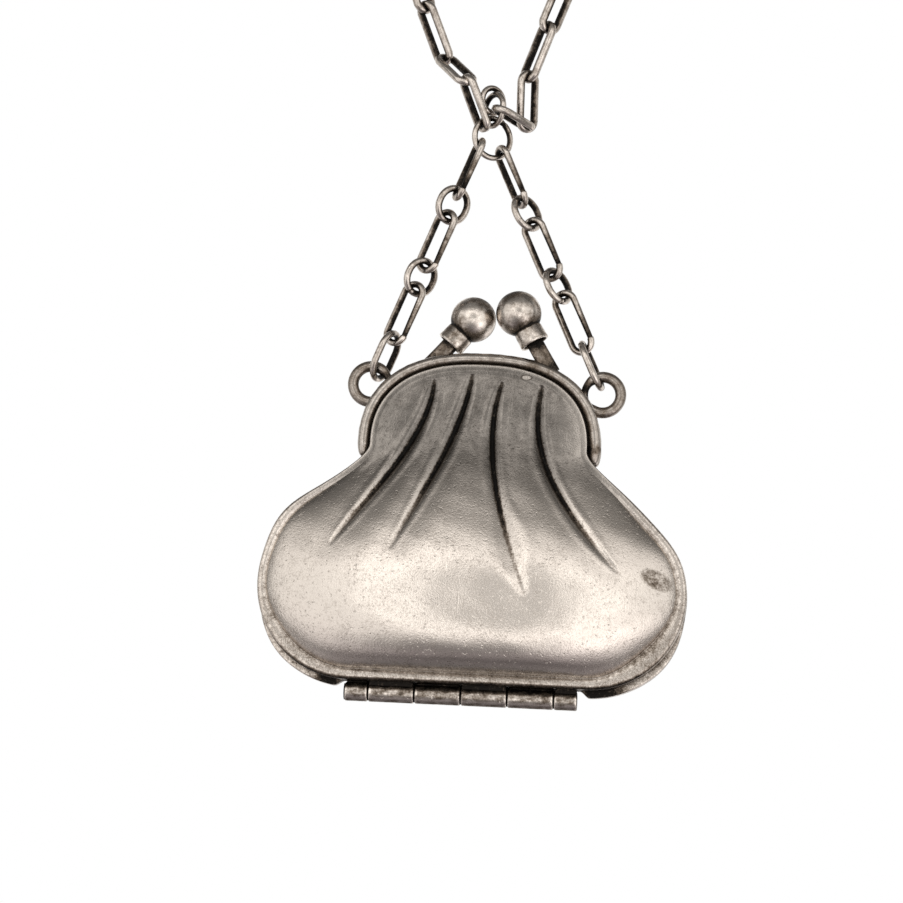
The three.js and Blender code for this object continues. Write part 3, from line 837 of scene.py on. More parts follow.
def pleat_relief(points, lines, shell):
    """How far the pleats press each point of a panel in, and how much of that is groove."""
    sunk = np.zeros(len(points))
    groove = np.zeros(len(points))
    depth, width = shell.pleat_depth / MM, shell.pleat_width / MM
    for (line, along, share), pleat in zip(lines, PLEATS):
        apart = points[:, None, :] - line[None, :, :]
        nearest = np.argmin((apart ** 2).sum(2), axis=1)
        gap = apart[np.arange(len(points)), nearest]
        tangent = along[nearest]
        side = np.abs(gap[:, 0] * tangent[:, 1] - gap[:, 1] * tangent[:, 0])
        beyond = np.abs((gap * tangent).sum(1))
        distance = np.hypot(side, beyond)
        place = share[nearest]
        leaf = np.sin(np.pi * place ** PLEAT_PLACE_POWER) ** PLEAT_LEAF_POWER
        opening = 1 + pleat[4] * smoothstep(place, *PLEAT_TIP)
        half = width * opening * (0.12 + 0.88 * leaf ** 0.7)
        wedge = np.clip(1 - distance / half, 0.0, 1.0)
        cut = depth * leaf ** 0.7 * wedge ** PLEAT_WEDGE_POWER
        from_lip = (distance - PLEAT_LIP_PLACE * half) / (PLEAT_LIP_WIDTH * half)
        lip = PLEAT_LIP_HEIGHT * depth * leaf * np.exp(-from_lip ** 2)
        swell = shell.fold_swell / MM * np.exp(-((distance / SWELL_REACH) ** 2)) * (0.3 + 0.7 * leaf)
        sunk += cut + swell - lip
        core = np.clip(1 - distance / (PLEAT_CORE * (0.25 + 0.75 * leaf ** 0.5)), 0.0, 1.0)
        fading = 1 - 0.6 * smoothstep(place, *PLEAT_CORE_FADE)
        groove = np.maximum(groove, smoothstep(core, 0.05, 0.6) * leaf ** 0.35 * fading)
    return sunk, groove


def dents(x, z):
    """Shallow dents as a few crossing waves."""
    waves = np.sin(1.1 * x + 0.7 * z) + np.sin(0.8 * z - 1.9 * x + 1.3) + np.sin(2.3 * z + 0.9 * x + 0.4)
    return waves / 3


class RingStack:
    """Rings of points in millimetres that a closed mesh is drawn through, with the oxide and painted shade
    at each point.
    """

    def __init__(self):
        self.rings = []
        self.oxide_and_shade_marks = []

    def add(self, points, oxide):
        self.rings.append(np.asarray(points, float))
        self.oxide_and_shade_marks.append(np.broadcast_to(oxide, len(points)))

    def add_flat(self, points, depth, oxide):
        """Adds a ring of (x, z) points that lie some depth in front of the seam's middle."""
        depth = np.broadcast_to(depth, len(points))
        self.add(np.stack([points[:, 0], -depth, points[:, 1]], 1), oxide)

    def close_ends(self, oxide):
        """Draws the first and the last ring together to a point."""
        ends = [np.repeat(ring.mean(0)[None], len(ring), 0) for ring in (self.rings[0], self.rings[-1])]
        self.rings = [ends[0], *self.rings, ends[1]]
        stain = np.full(len(ends[0]), oxide)
        self.oxide_and_shade_marks = [stain, *self.oxide_and_shade_marks, stain]

    def mesh(self, name):
        return ring_mesh(name, self.rings, self.oxide_and_shade_marks)


class PanelEdge:
    """How the edge of a panel changes round its outline: its sizes, where it is dull, and where shade and a
    highlight are painted on it.
    """

    def __init__(self, half):
        x, z = OUTLINE.T
        inward_x, inward_z = INWARD.T
        self.share = flange_share(z)
        self.inset = CREASE_INSET_NECK + (flange_width() - CREASE_INSET_NECK) * self.share
        self.depth = CREASE_DEPTH_NECK + (VALLEY_DEPTH - CREASE_DEPTH_NECK) * self.share
        self.lip = np.minimum(NECK_EDGE + (FLANGE_EDGE - NECK_EDGE) * self.share, EDGE_LIMIT * self.inset)
        self.crease = inset(self.inset)
        self.beside = np.zeros(len(z))
        if half == "back":
            past_hinge = smoothstep(np.abs(x + HINGE_X), *BACK_CORNER_START)
            self.beside = past_hinge * smoothstep(inward_z, *BOTTOM_CORNERS)
        self.spread = self.beside * np.where(x < 0, *BACK_CORNERS)
        # Painted shadow in the wedge between the halves at the hinge's ends
        self.wedge = self.beside * (1 - smoothstep(np.abs(x), *WEDGE_FADE))
        self.grown = -NECK_GROWTH * (1 - self.share) - self.spread
        # Painted shadow along the edges that face down, away from the back's corners by the hinge
        self.shadow_below = smoothstep(inward_z, *FACING_DOWN) * (1 - self.beside)
        # Painted shade on the lower and right sides: on the flange, and with oxide along the crease
        lower, right = smoothstep(inward_z, *LOWER_SIDE), smoothstep(-inward_x, *RIGHT_SIDE)
        self.crease_oxide_and_shade = VALLEY_OXIDE_AND_SHADE * (lower + right) * self.share
        dull = FLANGE_OXIDE + LOWER_FLANGE_SHADE * lower + CORNER_FLANGE_SHADE * lower * right
        # Round the neck, a painted highlight along the edge's lip, given as negative oxide
        self.dull = dull * self.share - LIP_HIGHLIGHT * (1 - self.share)


def add_hollow(stack, half):
    """Rings from the middle of a panel's hollow to its rim, with the back half's lip inside the seam."""
    inner_crease = inset(INNER_CREASE_INSET)
    for step in np.linspace(1, 0, HOLLOW_STEPS):
        points = dome_points(inner_crease, step)
        hollow = dome_rise(points[:, 1]) + CREASE_DEPTH - INNER_CREASE_DEPTH - WALL
        stack.add_flat(points, INNER_CREASE_DEPTH + hollow * roundness(step), HOLLOW_OXIDE)
    if half == "back":
        for reach, depth in SEAM_LIP:
            stack.add_flat(inset(reach), depth, SEAM_LIP_OXIDE)


def add_rim(stack, edge):
    """Rings over a panel's rim and up the outside of its flange."""
    # Oxide, with painted shadow on the edges that face down and in the wedge at the hinge's ends
    for reach, spreads, rise, plain, under_shadow, beside, wedge in RIM_RINGS:
        oxide = plain + under_shadow * edge.shadow_below + beside * edge.beside + wedge * edge.wedge
        stack.add_flat(inset(reach - spreads * edge.spread), SEAM_GAP / 2 + rise, oxide)
    depths = (FLANGE_DEPTH - 2 * FLANGE_EDGE, FLANGE_DEPTH - edge.lip)
    for depth, (plain, under_shadow) in zip(depths, OUTER_OXIDE_AND_SHADOW):
        stack.add_flat(inset(edge.grown), depth, plain + under_shadow * edge.shadow_below)


def add_flange(stack, edge):
    """Rings round the flange's lip and across it to the crease."""
    # The lip, with painted shadow on its outer turn where it faces down
    for turn in np.linspace(0.2, 1, 5) * math.pi / 2:
        depth = FLANGE_DEPTH - edge.lip * (1 - math.sin(turn))
        reach = edge.grown + edge.lip * (1 - math.cos(turn))
        stack.add_flat(inset(reach), depth, edge.dull + UNDER_SHADOW * edge.shadow_below * math.cos(turn))
    top = edge.grown + edge.lip
    for step in FLANGE_PLACES:
        fall = smoothstep(step, *FLANGE_FALL)
        depth = FLANGE_DEPTH - (FLANGE_DEPTH - edge.depth) * fall
        dull = edge.dull * np.where(edge.share > 0.5, 1.0, 1 - smoothstep(step, 0.0, 0.5))
        stack.add_flat(inset(top + (edge.inset - top) * step), depth, dull + edge.crease_oxide_and_shade * fall ** 2)


def add_dome(stack, edge, shell):
    """Rings from the crease over the pleated dome to its spine."""
    lines = [pleat_line(pleat) for pleat in PLEATS]
    near = np.linspace(0, 1, EDGE_STEPS + 1)[:-1] ** DOME_EDGE_POWER * DOME_EDGE
    far = np.linspace(DOME_EDGE, 1, DOME_STEPS)
    for step in np.concatenate([near, far]):
        points = dome_points(edge.crease, step)
        depth = edge.depth + dome_rise(points[:, 1]) * dome_height(points, edge.crease, step, edge.share)
        sunk, groove = pleat_relief(points, lines, shell)
        fade = smoothstep(step, 0.0, RELIEF_START)
        depth = depth - sunk * fade + dents(points[:, 0], points[:, 1]) * shell.dent_depth / MM * fade
        from_crease = np.linalg.norm(points - edge.crease, axis=1)
        # Oxide along the crease all round, with painted shade added on its lower and right sides
        valley = np.exp(-from_crease / VALLEY_REACH) * (edge.crease_oxide_and_shade + VALLEY_OXIDE_ALL * edge.share)
        stack.add_flat(points, depth, np.clip(groove * fade + valley, 0, 1))


def panel_mesh(half, shell):
    """A panel from the middle of its hollow to its outer middle. The back one is turned round."""
    edge = PanelEdge(half)
    stack = RingStack()
    add_hollow(stack, half)
    add_rim(stack, edge)
    add_flange(stack, edge)
    add_dome(stack, edge, shell)
    turn = (-SIDES[half], -SIDES[half], 1)
    return ring_mesh(half + "_panel", with_uneven_shoulders(np.array(stack.rings) * turn), stack.oxide_and_shade_marks)


def with_uneven_shoulders(points):
    """Points of a placed panel, with its left shoulder fuller than its right, as in hand work."""
    x, z = points[..., 0], points[..., 2]
    side = OUTLINE[:OUTLINE_STEPS + 1]
    reach = np.abs(x) / np.interp(z, side[:, 1], np.maximum(side[:, 0], GAP))
    size = np.where(x < 0, LEFT_SHOULDER, RIGHT_SHOULDER) * smoothstep(reach, *SHOULDER_START)
    size = size * np.exp(-((z - SHOULDER_Z) / SHOULDER_REACH) ** 2)
    moved = points.copy()
    moved[..., 0] += np.sign(x) * size * SHOULDER_PUSH[0]
    moved[..., 2] += size * SHOULDER_PUSH[1]
    return moved


def loop_faces(ring_count, point_count):
    """Quads between rings of points that close on themselves."""
    ring = np.arange(ring_count - 1)[:, None] * point_count
    place = np.arange(point_count)[None, :]
    after = (place + 1) % point_count
    above = ring + point_count
    return np.stack([ring + place, ring + after, above + after, above + place], 2).reshape(-1, 4)


def ring_mesh(name, rings, oxide):
    """A closed mesh through rings of points in millimetres, with its oxide and painted shade at each point.
    """
    rings = np.asarray(rings, float)
    count, size = rings.shape[:2]
    mesh = bpy.data.meshes.new(name)
    mesh.from_pydata((rings.reshape(-1, 3) * MM).tolist(), [], loop_faces(count, size).tolist())
    stain = mesh.attributes.new("oxide", "FLOAT", "POINT")
    stain.data.foreach_set("value", np.asarray(oxide, np.float32).ravel())
    shape = bmesh.new()
    shape.from_mesh(mesh)
    bmesh.ops.remove_doubles(shape, verts=shape.verts, dist=MERGE_DISTANCE)
    if shape.calc_volume(signed=True) < 0:
        bmesh.ops.reverse_faces(shape, faces=shape.faces)
    shape.to_mesh(mesh)
    shape.free()
    return mesh


def box_mesh(name, low, high, bevel, oxide):
    """A box with rounded edges, in millimetres."""
    shape = bmesh.new()
    bmesh.ops.create_cube(shape, size=1.0)
    low, high = np.array(low), np.array(high)
    for vertex in shape.verts:
        vertex.co = Vector(((low + high) / 2 + np.array(vertex.co) * (high - low)) * MM)
    edges = shape.edges[:]
    bmesh.ops.bevel(shape, geom=edges, offset=bevel * MM, segments=3, profile=0.5, affect="EDGES")
    mesh = bpy.data.meshes.new(name)
    shape.to_mesh(mesh)
    shape.free()
    stain = mesh.attributes.new("oxide", "FLOAT", "POINT")
    stain.data.foreach_set("value", np.full(len(mesh.vertices), oxide, np.float32))
    return mesh


def joined(name, meshes):
    shape = bmesh.new()
    for mesh in meshes:
        shape.from_mesh(mesh)
        bpy.data.meshes.remove(mesh)
    whole = bpy.data.meshes.new(name)
    shape.to_mesh(whole)
    shape.free()
    whole.shade_smooth()
    return whole


def add_piece(mesh, material, body, nodes):
    """Puts a mesh in the scene as a piece that stands for CAD nodes and moves with a body."""
    mesh.transform(Matrix.Translation((0, 0, PURSE_Z * MM)))
    mesh.materials.clear()
    mesh.materials.append(material)
    piece = bpy.data.objects.new(mesh.name, mesh)
    bpy.context.scene.collection.objects.link(piece)
    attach(piece, body)
    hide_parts(*nodes)


def lathe(name, profile, sides, origin, axis):
    """A turned shape: rows of radius, place along the axis, and oxide and painted shade."""
    axis = np.asarray(axis, float)
    first = np.cross(axis, Y_AXIS)
    first /= np.linalg.norm(first)
    second = np.cross(axis, first)
    turn = full_turn(sides)
    circle = np.cos(turn)[:, None] * first + np.sin(turn)[:, None] * second
    stack = RingStack()
    for radius, along, oxide in profile:
        stack.add(np.asarray(origin) + axis * along + circle * radius, oxide)
    return stack.mesh(name)


def with_both_ends(end, middle):
    """A turned profile whose near end mirrors its far end, given from the outside in."""
    near_end = [(radius, -along, oxide) for radius, along, oxide in end]
    return [*near_end, *middle, *reversed(end)]


def knuckle(start, length, half):
    """A hinge barrel rolled from sheet, with the leaf that joins it to its panel."""
    reach = (length - GAP) / 2
    middle = start + length / 2
    stop = reach + (GAP - KNUCKLE_PLAY if half == "back" else 0.0)
    end = (
        (BARREL_BORE, stop, 1.0),
        (BARREL_CORE, stop, 1.0),
        (BARREL_CORE, reach, 1.0),
        (BARREL_RADIUS - BARREL_BEVEL, reach, 0.8),
        (BARREL_RADIUS - 0.3 * BARREL_BEVEL, reach - 0.3 * BARREL_BEVEL, 0.3),
        (BARREL_RADIUS, reach - BARREL_BEVEL, 0.06),
    )
    straight = reach - 3 * BARREL_BEVEL
    places = np.linspace(-straight, straight, BARREL_STEPS)
    profile = with_both_ends(end, [(BARREL_RADIUS, along, BARREL_OXIDE) for along in places])
    turn = full_turn(BARREL_SIDES)
    # A painted highlight: a lighter line along the lower front of each barrel
    from_highlight_line = np.mod(turn - math.radians(HIGHLIGHT_LINE_DEG) + math.pi, 2 * math.pi) - math.pi
    highlight_line = HIGHLIGHT_LINE_SHINE * np.exp(-(from_highlight_line / HIGHLIGHT_LINE_WIDTH) ** 2)
    # Painted shade on the top of each barrel, where it tucks under the panels
    above = BARREL_TOP_SHADE * smoothstep(np.sin(turn), 0.1, 0.9)
    stack = RingStack()
    for radius, along, oxide in (*profile, profile[0]):
        x = np.full(BARREL_SIDES, middle + along)
        blotch = BARREL_BLOTCH * dents(3.1 * x, 4.0 * turn) if radius > BARREL_CORE else 0.0
        # The barrel's oxide and mottle, with its painted highlight line and the painted shade on its top
        stain = np.clip(oxide + blotch - highlight_line * (oxide < 1) + above, 0, 1)
        stack.add(np.stack([x, radius * np.cos(turn), radius * np.sin(turn)], 1), stain)
    near, far = sorted((SIDES[half] * LEAF_NEAR, SIDES[half] * LEAF_FAR))
    low = (middle - reach + GAP / 2, near, LEAF_LOW)
    high = (middle + reach - GAP / 2, far, LEAF_HIGH)
    return [stack.mesh("barrel"), box_mesh("leaf", low, high, LEAF_BEVEL, 1.0)]


def knuckles(half):
    start = HINGE_X - HINGE_LENGTH / 2
    meshes = []
    for owner, length in KNUCKLES:
        if owner == half:
            meshes += knuckle(start, length, half)
        start += length
    if half == "back":
        reach = HINGE_LENGTH / 2 - GAP
        low, high = (HINGE_X - reach, *HINGE_STRIP[0]), (HINGE_X + reach, *HINGE_STRIP[1])
        meshes.append(box_mesh("hinge_strip", low, high, HINGE_STRIP_BEVEL, 1.0))
    return meshes


def outside(flat):
    """How far points in (x, z) lie outside the panel's outline, and the outline's nearest points."""
    apart = ((flat[:, None, :] - OUTLINE[None, :, :]) ** 2).sum(2)
    nearest = np.argmin(apart, axis=1)
    return -((flat - OUTLINE[nearest]) * INWARD[nearest]).sum(1), nearest


def off_shoulders(points):
    """Moves points of a wire's ends out of the panel's outline, so that they stop at its shoulders."""
    flat = points[:, (0, 2)]
    outward, nearest = outside(flat)
    short = np.clip(SHOULDER_GAP - outward, 0.0, None)
    moved = flat - INWARD[nearest] * short[:, None]
    return np.stack([moved[:, 0], points[:, 1], moved[:, 1]], 1)


def lump_size(half, centre):
    """How much thicker solder makes a frame's wire at a point."""
    reaches = [(np.linalg.norm(centre - spot) / reach, size) for spot, reach, size in SOLDER[half]]
    return sum(size * math.exp(-away ** 2) for away, size in reaches)


def arch_wire(half):
    """The frame's wire over the neck, with its solder lumps."""
    y = SIDES[half] * FRAME_Y
    degrees = np.linspace(-FRAME_END_DEG, 180 + FRAME_END_DEG, 4 * PATH_STEPS)
    whole = neck_arch(FRAME_HALF_WIDTH, FRAME_RISE, degrees)
    line = resample(whole[outside(whole)[0] > WIRE_END_REACH], ARCH_STEPS)
    length = np.linalg.norm(np.diff(line, axis=0), axis=1).sum()
    turn = full_turn(WIRE_SIDES)
    # Painted shade on the inner half of the wire, toward the panel, and oxide in the solder lumps
    inner = smoothstep(np.cos(turn), -0.1, 0.9)
    stack = RingStack()
    for place, (centre, tangent) in enumerate(zip(line, directions(line))):
        lumps = lump_size(half, centre)
        ripple = 0.012 * math.sin(0.9 * place) + 0.014 * math.sin(0.37 * place + 1.0)
        to_end = min(place, ARCH_STEPS - place) / ARCH_STEPS * length
        taper = math.sqrt(1 - (1 - min(to_end / WIRE_TAPER, 1.0)) ** 2)
        radius = FRAME_WIRE * (WIRE_SHARE + ripple + lumps) * (WIRE_END_SIZE + (1 - WIRE_END_SIZE) * taper)
        across = np.cos(turn) * radius
        x, z = centre[0] - tangent[1] * across, centre[1] + tangent[0] * across
        points = np.stack([x, y + np.sin(turn) * radius, z], 1)
        stack.add(off_shoulders(points), np.clip(-0.14 + 0.5 * inner + 4.5 * lumps, -0.2, 1))
    stack.close_ends(0.5)
    return stack.mesh("arch_wire")


def solder_strip(half):
    """Dark solder that fills the groove between a frame's wire and its panel."""
    y = SIDES[half] * FRAME_Y
    front, back = y - STRIP_HALF_DEPTH, y + STRIP_HALF_DEPTH
    degrees = np.linspace(-STRIP_END_DEG, 180 + STRIP_END_DEG, ARCH_STEPS)
    inner = neck_arch(NECK_HALF_WIDTH - STRIP_INNER, NECK_RISE - STRIP_INNER, degrees)
    outer = neck_arch(FRAME_HALF_WIDTH - STRIP_OUTER, FRAME_RISE - STRIP_OUTER, degrees)
    stack = RingStack()
    for near, far in zip(inner, outer):
        corners = ((near, front), (far, front), (far, back), (near, back))
        stack.add([(flat[0], deep, flat[1]) for flat, deep in corners], 1.0)
    stack.close_ends(1.0)
    return stack.mesh("solder_strip")


def clasp_axis(half):
    """Direction and length of a clasp post from its foot to the middle of its ball."""
    foot, ball = [np.array(point) for point in CLASP_POSTS[half]]
    length = np.linalg.norm(ball - foot)
    return (ball - foot) / length, length


def post(half):
    """The flat bar that carries a clasp ball."""
    along, length = clasp_axis(half)
    foot = np.array(CLASP_POSTS[half][0])
    side = np.cross(along, Y_AXIS)
    side /= np.linalg.norm(side)
    deep = np.cross(along, side)
    turn = full_turn(WIRE_SIDES)
    top = length - COLLAR_FLOOR - GAP
    wide = POST_RADIUS * signed_power(np.cos(turn), POST_POWER)
    thick = POST_RADIUS * POST_FLATNESS * signed_power(np.sin(turn), POST_POWER)
    section = wide[:, None] * side + thick[:, None] * deep
    stack = RingStack()
    for share, size, oxide in POST_SECTIONS:
        stack.add(foot + along * top * share + size * section, oxide)
    return stack.mesh("post")


def bail(side, middle_x, middle_z):
    """A thick ring soldered beside the neck, slimmer at its joint."""
    turn = full_turn(LATHE_SIDES)
    joint = smoothstep(-side * np.cos(turn), 0.45, 0.95)
    wire = BAIL_WIRE * (BAIL_SHARE - BAIL_PINCH * joint)
    stack = RingStack()
    for angle in np.linspace(0, 2 * math.pi, WIRE_SIDES + 1):
        reach = BAIL_RADIUS + wire * math.cos(angle)
        x = side * middle_x + reach * np.cos(turn)
        z = middle_z + reach * np.sin(turn)
        inside = 0.35 * smoothstep(-math.cos(angle), 0.2, 1.0)
        oxide = np.clip(0.1 + inside + 0.5 * joint, 0, 1)
        stack.add(np.stack([x, BAIL_Y + wire * math.sin(angle), z], 1), oxide)
    return stack.mesh("bail")


def knob(half):
    """A clasp ball on a bored collar."""
    along = clasp_axis(half)[0]
    neck = math.asin(0.94 * COLLAR_RADIUS / BALL_RADIUS)
    profile = [
        (0.0, -COLLAR_FLOOR, 1.0),
        (COLLAR_BORE, -COLLAR_FLOOR, 1.0),
        (COLLAR_BORE, -0.5 * (COLLAR_FLOOR + COLLAR_LIP), 1.0),
        (COLLAR_BORE + 0.02, -COLLAR_LIP + 0.1, 0.7),
        (COLLAR_BORE + 0.08, -COLLAR_LIP + 0.01, 0.05),
        (COLLAR_RADIUS - 0.08, -COLLAR_LIP, 0.0),
        (COLLAR_RADIUS, -COLLAR_LIP + 0.06, 0.0),
        (COLLAR_RADIUS + 0.01, -COLLAR_LIP + 0.2, 0.25),
        (COLLAR_RADIUS - 0.02, -0.6 * COLLAR_LIP - 0.4 * COLLAR_FLOOR, 0.3),
        (0.97 * COLLAR_RADIUS, -COLLAR_FLOOR, 0.35),
        (0.945 * COLLAR_RADIUS, -BALL_RADIUS * math.cos(neck) - 0.1, 0.8),
    ]
    for angle in np.linspace(neck, math.pi, BALL_STEPS):
        past_neck = angle - neck
        # Painted shade over the top of the ball; by the collar, oxide in the joint and painted shade over
        # the ball's lower side
        top_shade = 0.65 * smoothstep(angle, 1.8, 2.7)
        oxide = 0.3 * math.exp(-past_neck / 0.09) + 0.85 * math.exp(-past_neck / 0.5) + top_shade
        profile.append((BALL_RADIUS * math.sin(angle), -BALL_RADIUS * math.cos(angle), oxide))
    return lathe(half + "_knob", profile, LATHE_SIDES, CLASP_POSTS[half][1], along)


def pin():
    reach = (HINGE_LENGTH - GAP) / 2
    end = (
        (0.0, reach, 0.3),
        (0.7 * PIN_RADIUS, reach, 0.3),
        (0.94 * PIN_RADIUS, reach - 0.04, 0.5),
        (PIN_RADIUS, reach - 0.12, 0.8),
    )
    profile = with_both_ends(end, [(PIN_RADIUS, 0.0, 0.8)])
    return lathe("hinge_pin_bar", profile, PIN_SIDES, (HINGE_X, 0, 0), X_AXIS)


def link_frame(along, turn_deg):
    """Unit vectors across a link whose length lies along a direction, turned about it."""
    sideways = Y_AXIS.cross(along).normalized()
    deep = along.cross(sideways)
    turn = math.radians(turn_deg)
    return sideways * math.cos(turn) + deep * math.sin(turn)


def turn_across(wire, along):
    """The turn that sets a link square across the wire that it holds."""
    sideways = Y_AXIS.cross(along).normalized()
    deep = along.cross(sideways)
    return math.degrees(math.atan2(-wire.dot(sideways), wire.dot(deep)))


def ring_point(centre, ring, degrees):
    """A point on a junction ring's wire by its angle from the bottom towards +X."""
    radius, turn = ring
    angle, yaw = math.radians(degrees), math.radians(turn)
    reach = radius * math.sin(angle)
    return centre + Vector((reach * math.cos(yaw), reach * math.sin(yaw), -radius * math.cos(angle)))


def ring_direction(ring, degrees):
    angle, yaw = math.radians(degrees), math.radians(ring[1])
    return Vector((math.cos(angle) * math.cos(yaw), math.cos(angle) * math.sin(yaw), math.sin(angle)))


def hook_point(side, x, z):
    """Where the lowest wire of a handle chain lies in its bail."""
    hang = math.acos((SWING_Z - z) / BAIL_RADIUS)
    reach = BAIL_RADIUS - BAIL_WIRE - HANDLE_WIRE - GAP
    return Vector((side * (x - reach * math.sin(hang)), BAIL_Y, z + reach * math.cos(hang)))


RING_PITCH = 2 * JUNCTION_WIRE + GAP
REAR_CENTRE = FRONT_CENTRE + Z_AXIS * (FRONT_RING[0] + REAR_RING[0] - RING_PITCH)
SIDE_HOOK = ring_point(REAR_CENTRE, REAR_RING, SIDE_RING_HANG_DEG)
SIDE_CENTRE = SIDE_HOOK + Z_AXIS * (RING_PITCH - SIDE_RING[0])
LEAN = math.radians(NECKLACE_LEAN_DEG)
LOOP_RADIUS = NECKLACE_LENGTH / 2 / (1 / math.tan(LEAN) + math.pi / 2 + LEAN)
LOOP_Z = FRONT_CENTRE.z + LOOP_RADIUS / math.sin(LEAN)


def link_row(centre, along, across, inside, half_width, wire, seam):
    """One link's place and sizes, in millimetres."""
    return {
        "centre": centre,
        "along": along,
        "across": across,
        "stretch": inside / 2 + wire - half_width,
        "half_width": half_width,
        "wire": wire,
        "seam": seam,
    }


def ring_row(centre, along, across, radius, wire, seam):
    return link_row(centre, along, across, 2 * (radius - wire), radius, wire, seam)


def handle_rows(label):
    """A handle chain drawn straight from its bail to the front ring, with the same play at each contact."""
    low = hook_point(*BAILS[label])
    end = ring_point(FRONT_CENTRE, FRONT_RING, HANDLE_HANG_DEG[label])
    held = ring_direction(FRONT_RING, HANDLE_HANG_DEG[label])
    along = (end - low).normalized()
    reach = sum(row[1] for row in HANDLE_CHAIN) + HANDLE_WIRE - JUNCTION_WIRE
    play = (reach - (end - low).length) / len(HANDLE_CHAIN)
    rows = []
    for place, (name, inside, half_width, left_turn, right_turn) in enumerate(HANDLE_CHAIN):
        centre = low + along * (inside / 2 + HANDLE_WIRE)
        low = low + along * (inside - play)
        turn = left_turn if label == "left" else right_turn
        across = link_frame(along, turn_across(held, along) if turn is None else turn)
        seam = 0.25 if name.startswith("link") else 0.14 + 0.21 * place
        rows.append(link_row(centre, along, across, inside, half_width, HANDLE_WIRE, seam % 1.0))
    return rows


def junction_rows():
    rings = ((FRONT_CENTRE, FRONT_RING, 0.1), (REAR_CENTRE, REAR_RING, 0.7), (SIDE_CENTRE, SIDE_RING, 0.4))
    rows = []
    for centre, (radius, turn), seam in rings:
        rows.append(ring_row(centre, Z_AXIS, link_frame(Z_AXIS, turn), radius, JUNCTION_WIRE, seam))
    return rows


def leg_contacts(side, start):
    """Points where the links of one strand touch, from its last free point to the nape."""
    reach = math.hypot(start.x, LOOP_Z - start.z)
    leg = math.sqrt(reach * reach - LOOP_RADIUS * LOOP_RADIUS)
    lean = math.asin(LOOP_RADIUS / reach) - math.asin(abs(start.x) / reach)
    tangent = Vector((start.x + side * leg * math.sin(lean), 0, start.z + leg * math.cos(lean)))
    clasp_angle = math.asin((CLASP_RADIUS - CLASP_WIRE - GAP / 2) / LOOP_RADIUS)
    total = leg + LOOP_RADIUS * (math.pi / 2 + lean - clasp_angle)
    count = round(total / LINK_PITCH)
    contacts = []
    for step in range(1, count + 1):
        travelled = total * step / count
        angle = (travelled - leg) / LOOP_RADIUS - lean
        out, up = LOOP_RADIUS * math.cos(angle), LOOP_RADIUS * math.sin(angle)
        on_arc = Vector((side * out, 0, LOOP_Z + up))
        contacts.append(start.lerp(tangent, travelled / leg) if travelled < leg else on_arc)
    return contacts


def strand_rows(label, ring, ring_centre):
    side, hang, points = STRANDS[label]
    free = [Vector(point) + FRONT_CENTRE for point in points]
    foot = ring_point(ring_centre, ring, hang)
    first = (free[0] - foot).normalized()
    held = foot - first * (JUNCTION_WIRE + GAP / 2)
    contacts = [held, *free, *leg_contacts(side, free[-1])]
    last = len(contacts) - 2
    rows = []
    for place, (start, end) in enumerate(zip(contacts, contacts[1:])):
        along = (end - start).normalized()
        start_reach = LINK_WIRE + GAP / 2 if place == 0 else LINK_WIRE - LINK_FUSE / 2
        end_reach = LINK_WIRE + GAP / 2 if place == last else LINK_WIRE - LINK_FUSE / 2
        inside = (end - start).length + start_reach + end_reach - 2 * LINK_WIRE
        centre = (start + end) / 2 + along * (end_reach - start_reach) / 2
        turn = 90 * ((last - place) % 2) + LINK_TURN_DEG * (1 - place / last)
        if place == 0:
            turn = turn_across(ring_direction(ring, hang), first)
        across = link_frame(along, turn)
        rows.append(link_row(centre, along, across, inside, LINK_HALF_WIDTH, LINK_WIRE, NO_SEAM))
    return rows


def clasp_row():
    nape = Vector((0, 0, LOOP_Z + LOOP_RADIUS))
    return ring_row(nape, X_AXIS, Y_AXIS, CLASP_RADIUS, CLASP_WIRE, 0.75)


LINK_VECTORS = ("along", "across")
LINK_SIZES = ("stretch", "half_width", "wire", "seam")


def link_places(name, rows):
    """A mesh of loose points, one for each link, that carries the links' sizes."""
    mesh = bpy.data.meshes.new(name)
    mesh.from_pydata([tuple(row["centre"] * MM) for row in rows], [], [])
    for key in LINK_VECTORS:
        layer = mesh.attributes.new(key, "FLOAT_VECTOR", "POINT")
        layer.data.foreach_set("vector", np.array([tuple(row[key]) for row in rows], np.float32).ravel())
    for key in LINK_SIZES:
        scale = 1.0 if key == "seam" else MM
        layer = mesh.attributes.new(key, "FLOAT", "POINT")
        layer.data.foreach_set("value", np.array([row[key] * scale for row in rows], np.float32))
    return mesh


UNIT_WIRE = 0.1
SEAM_WIDTH = 0.012
SEAM_NOTCH = 0.22
CHAIN_INPUTS = (
    ("Places", "NodeSocketGeometry"),
    ("Ring steps", "NodeSocketInt"),
    ("Wire sides", "NodeSocketInt"),
    ("Squareness", "NodeSocketFloat"),
    ("Finish", "NodeSocketMaterial"),
)


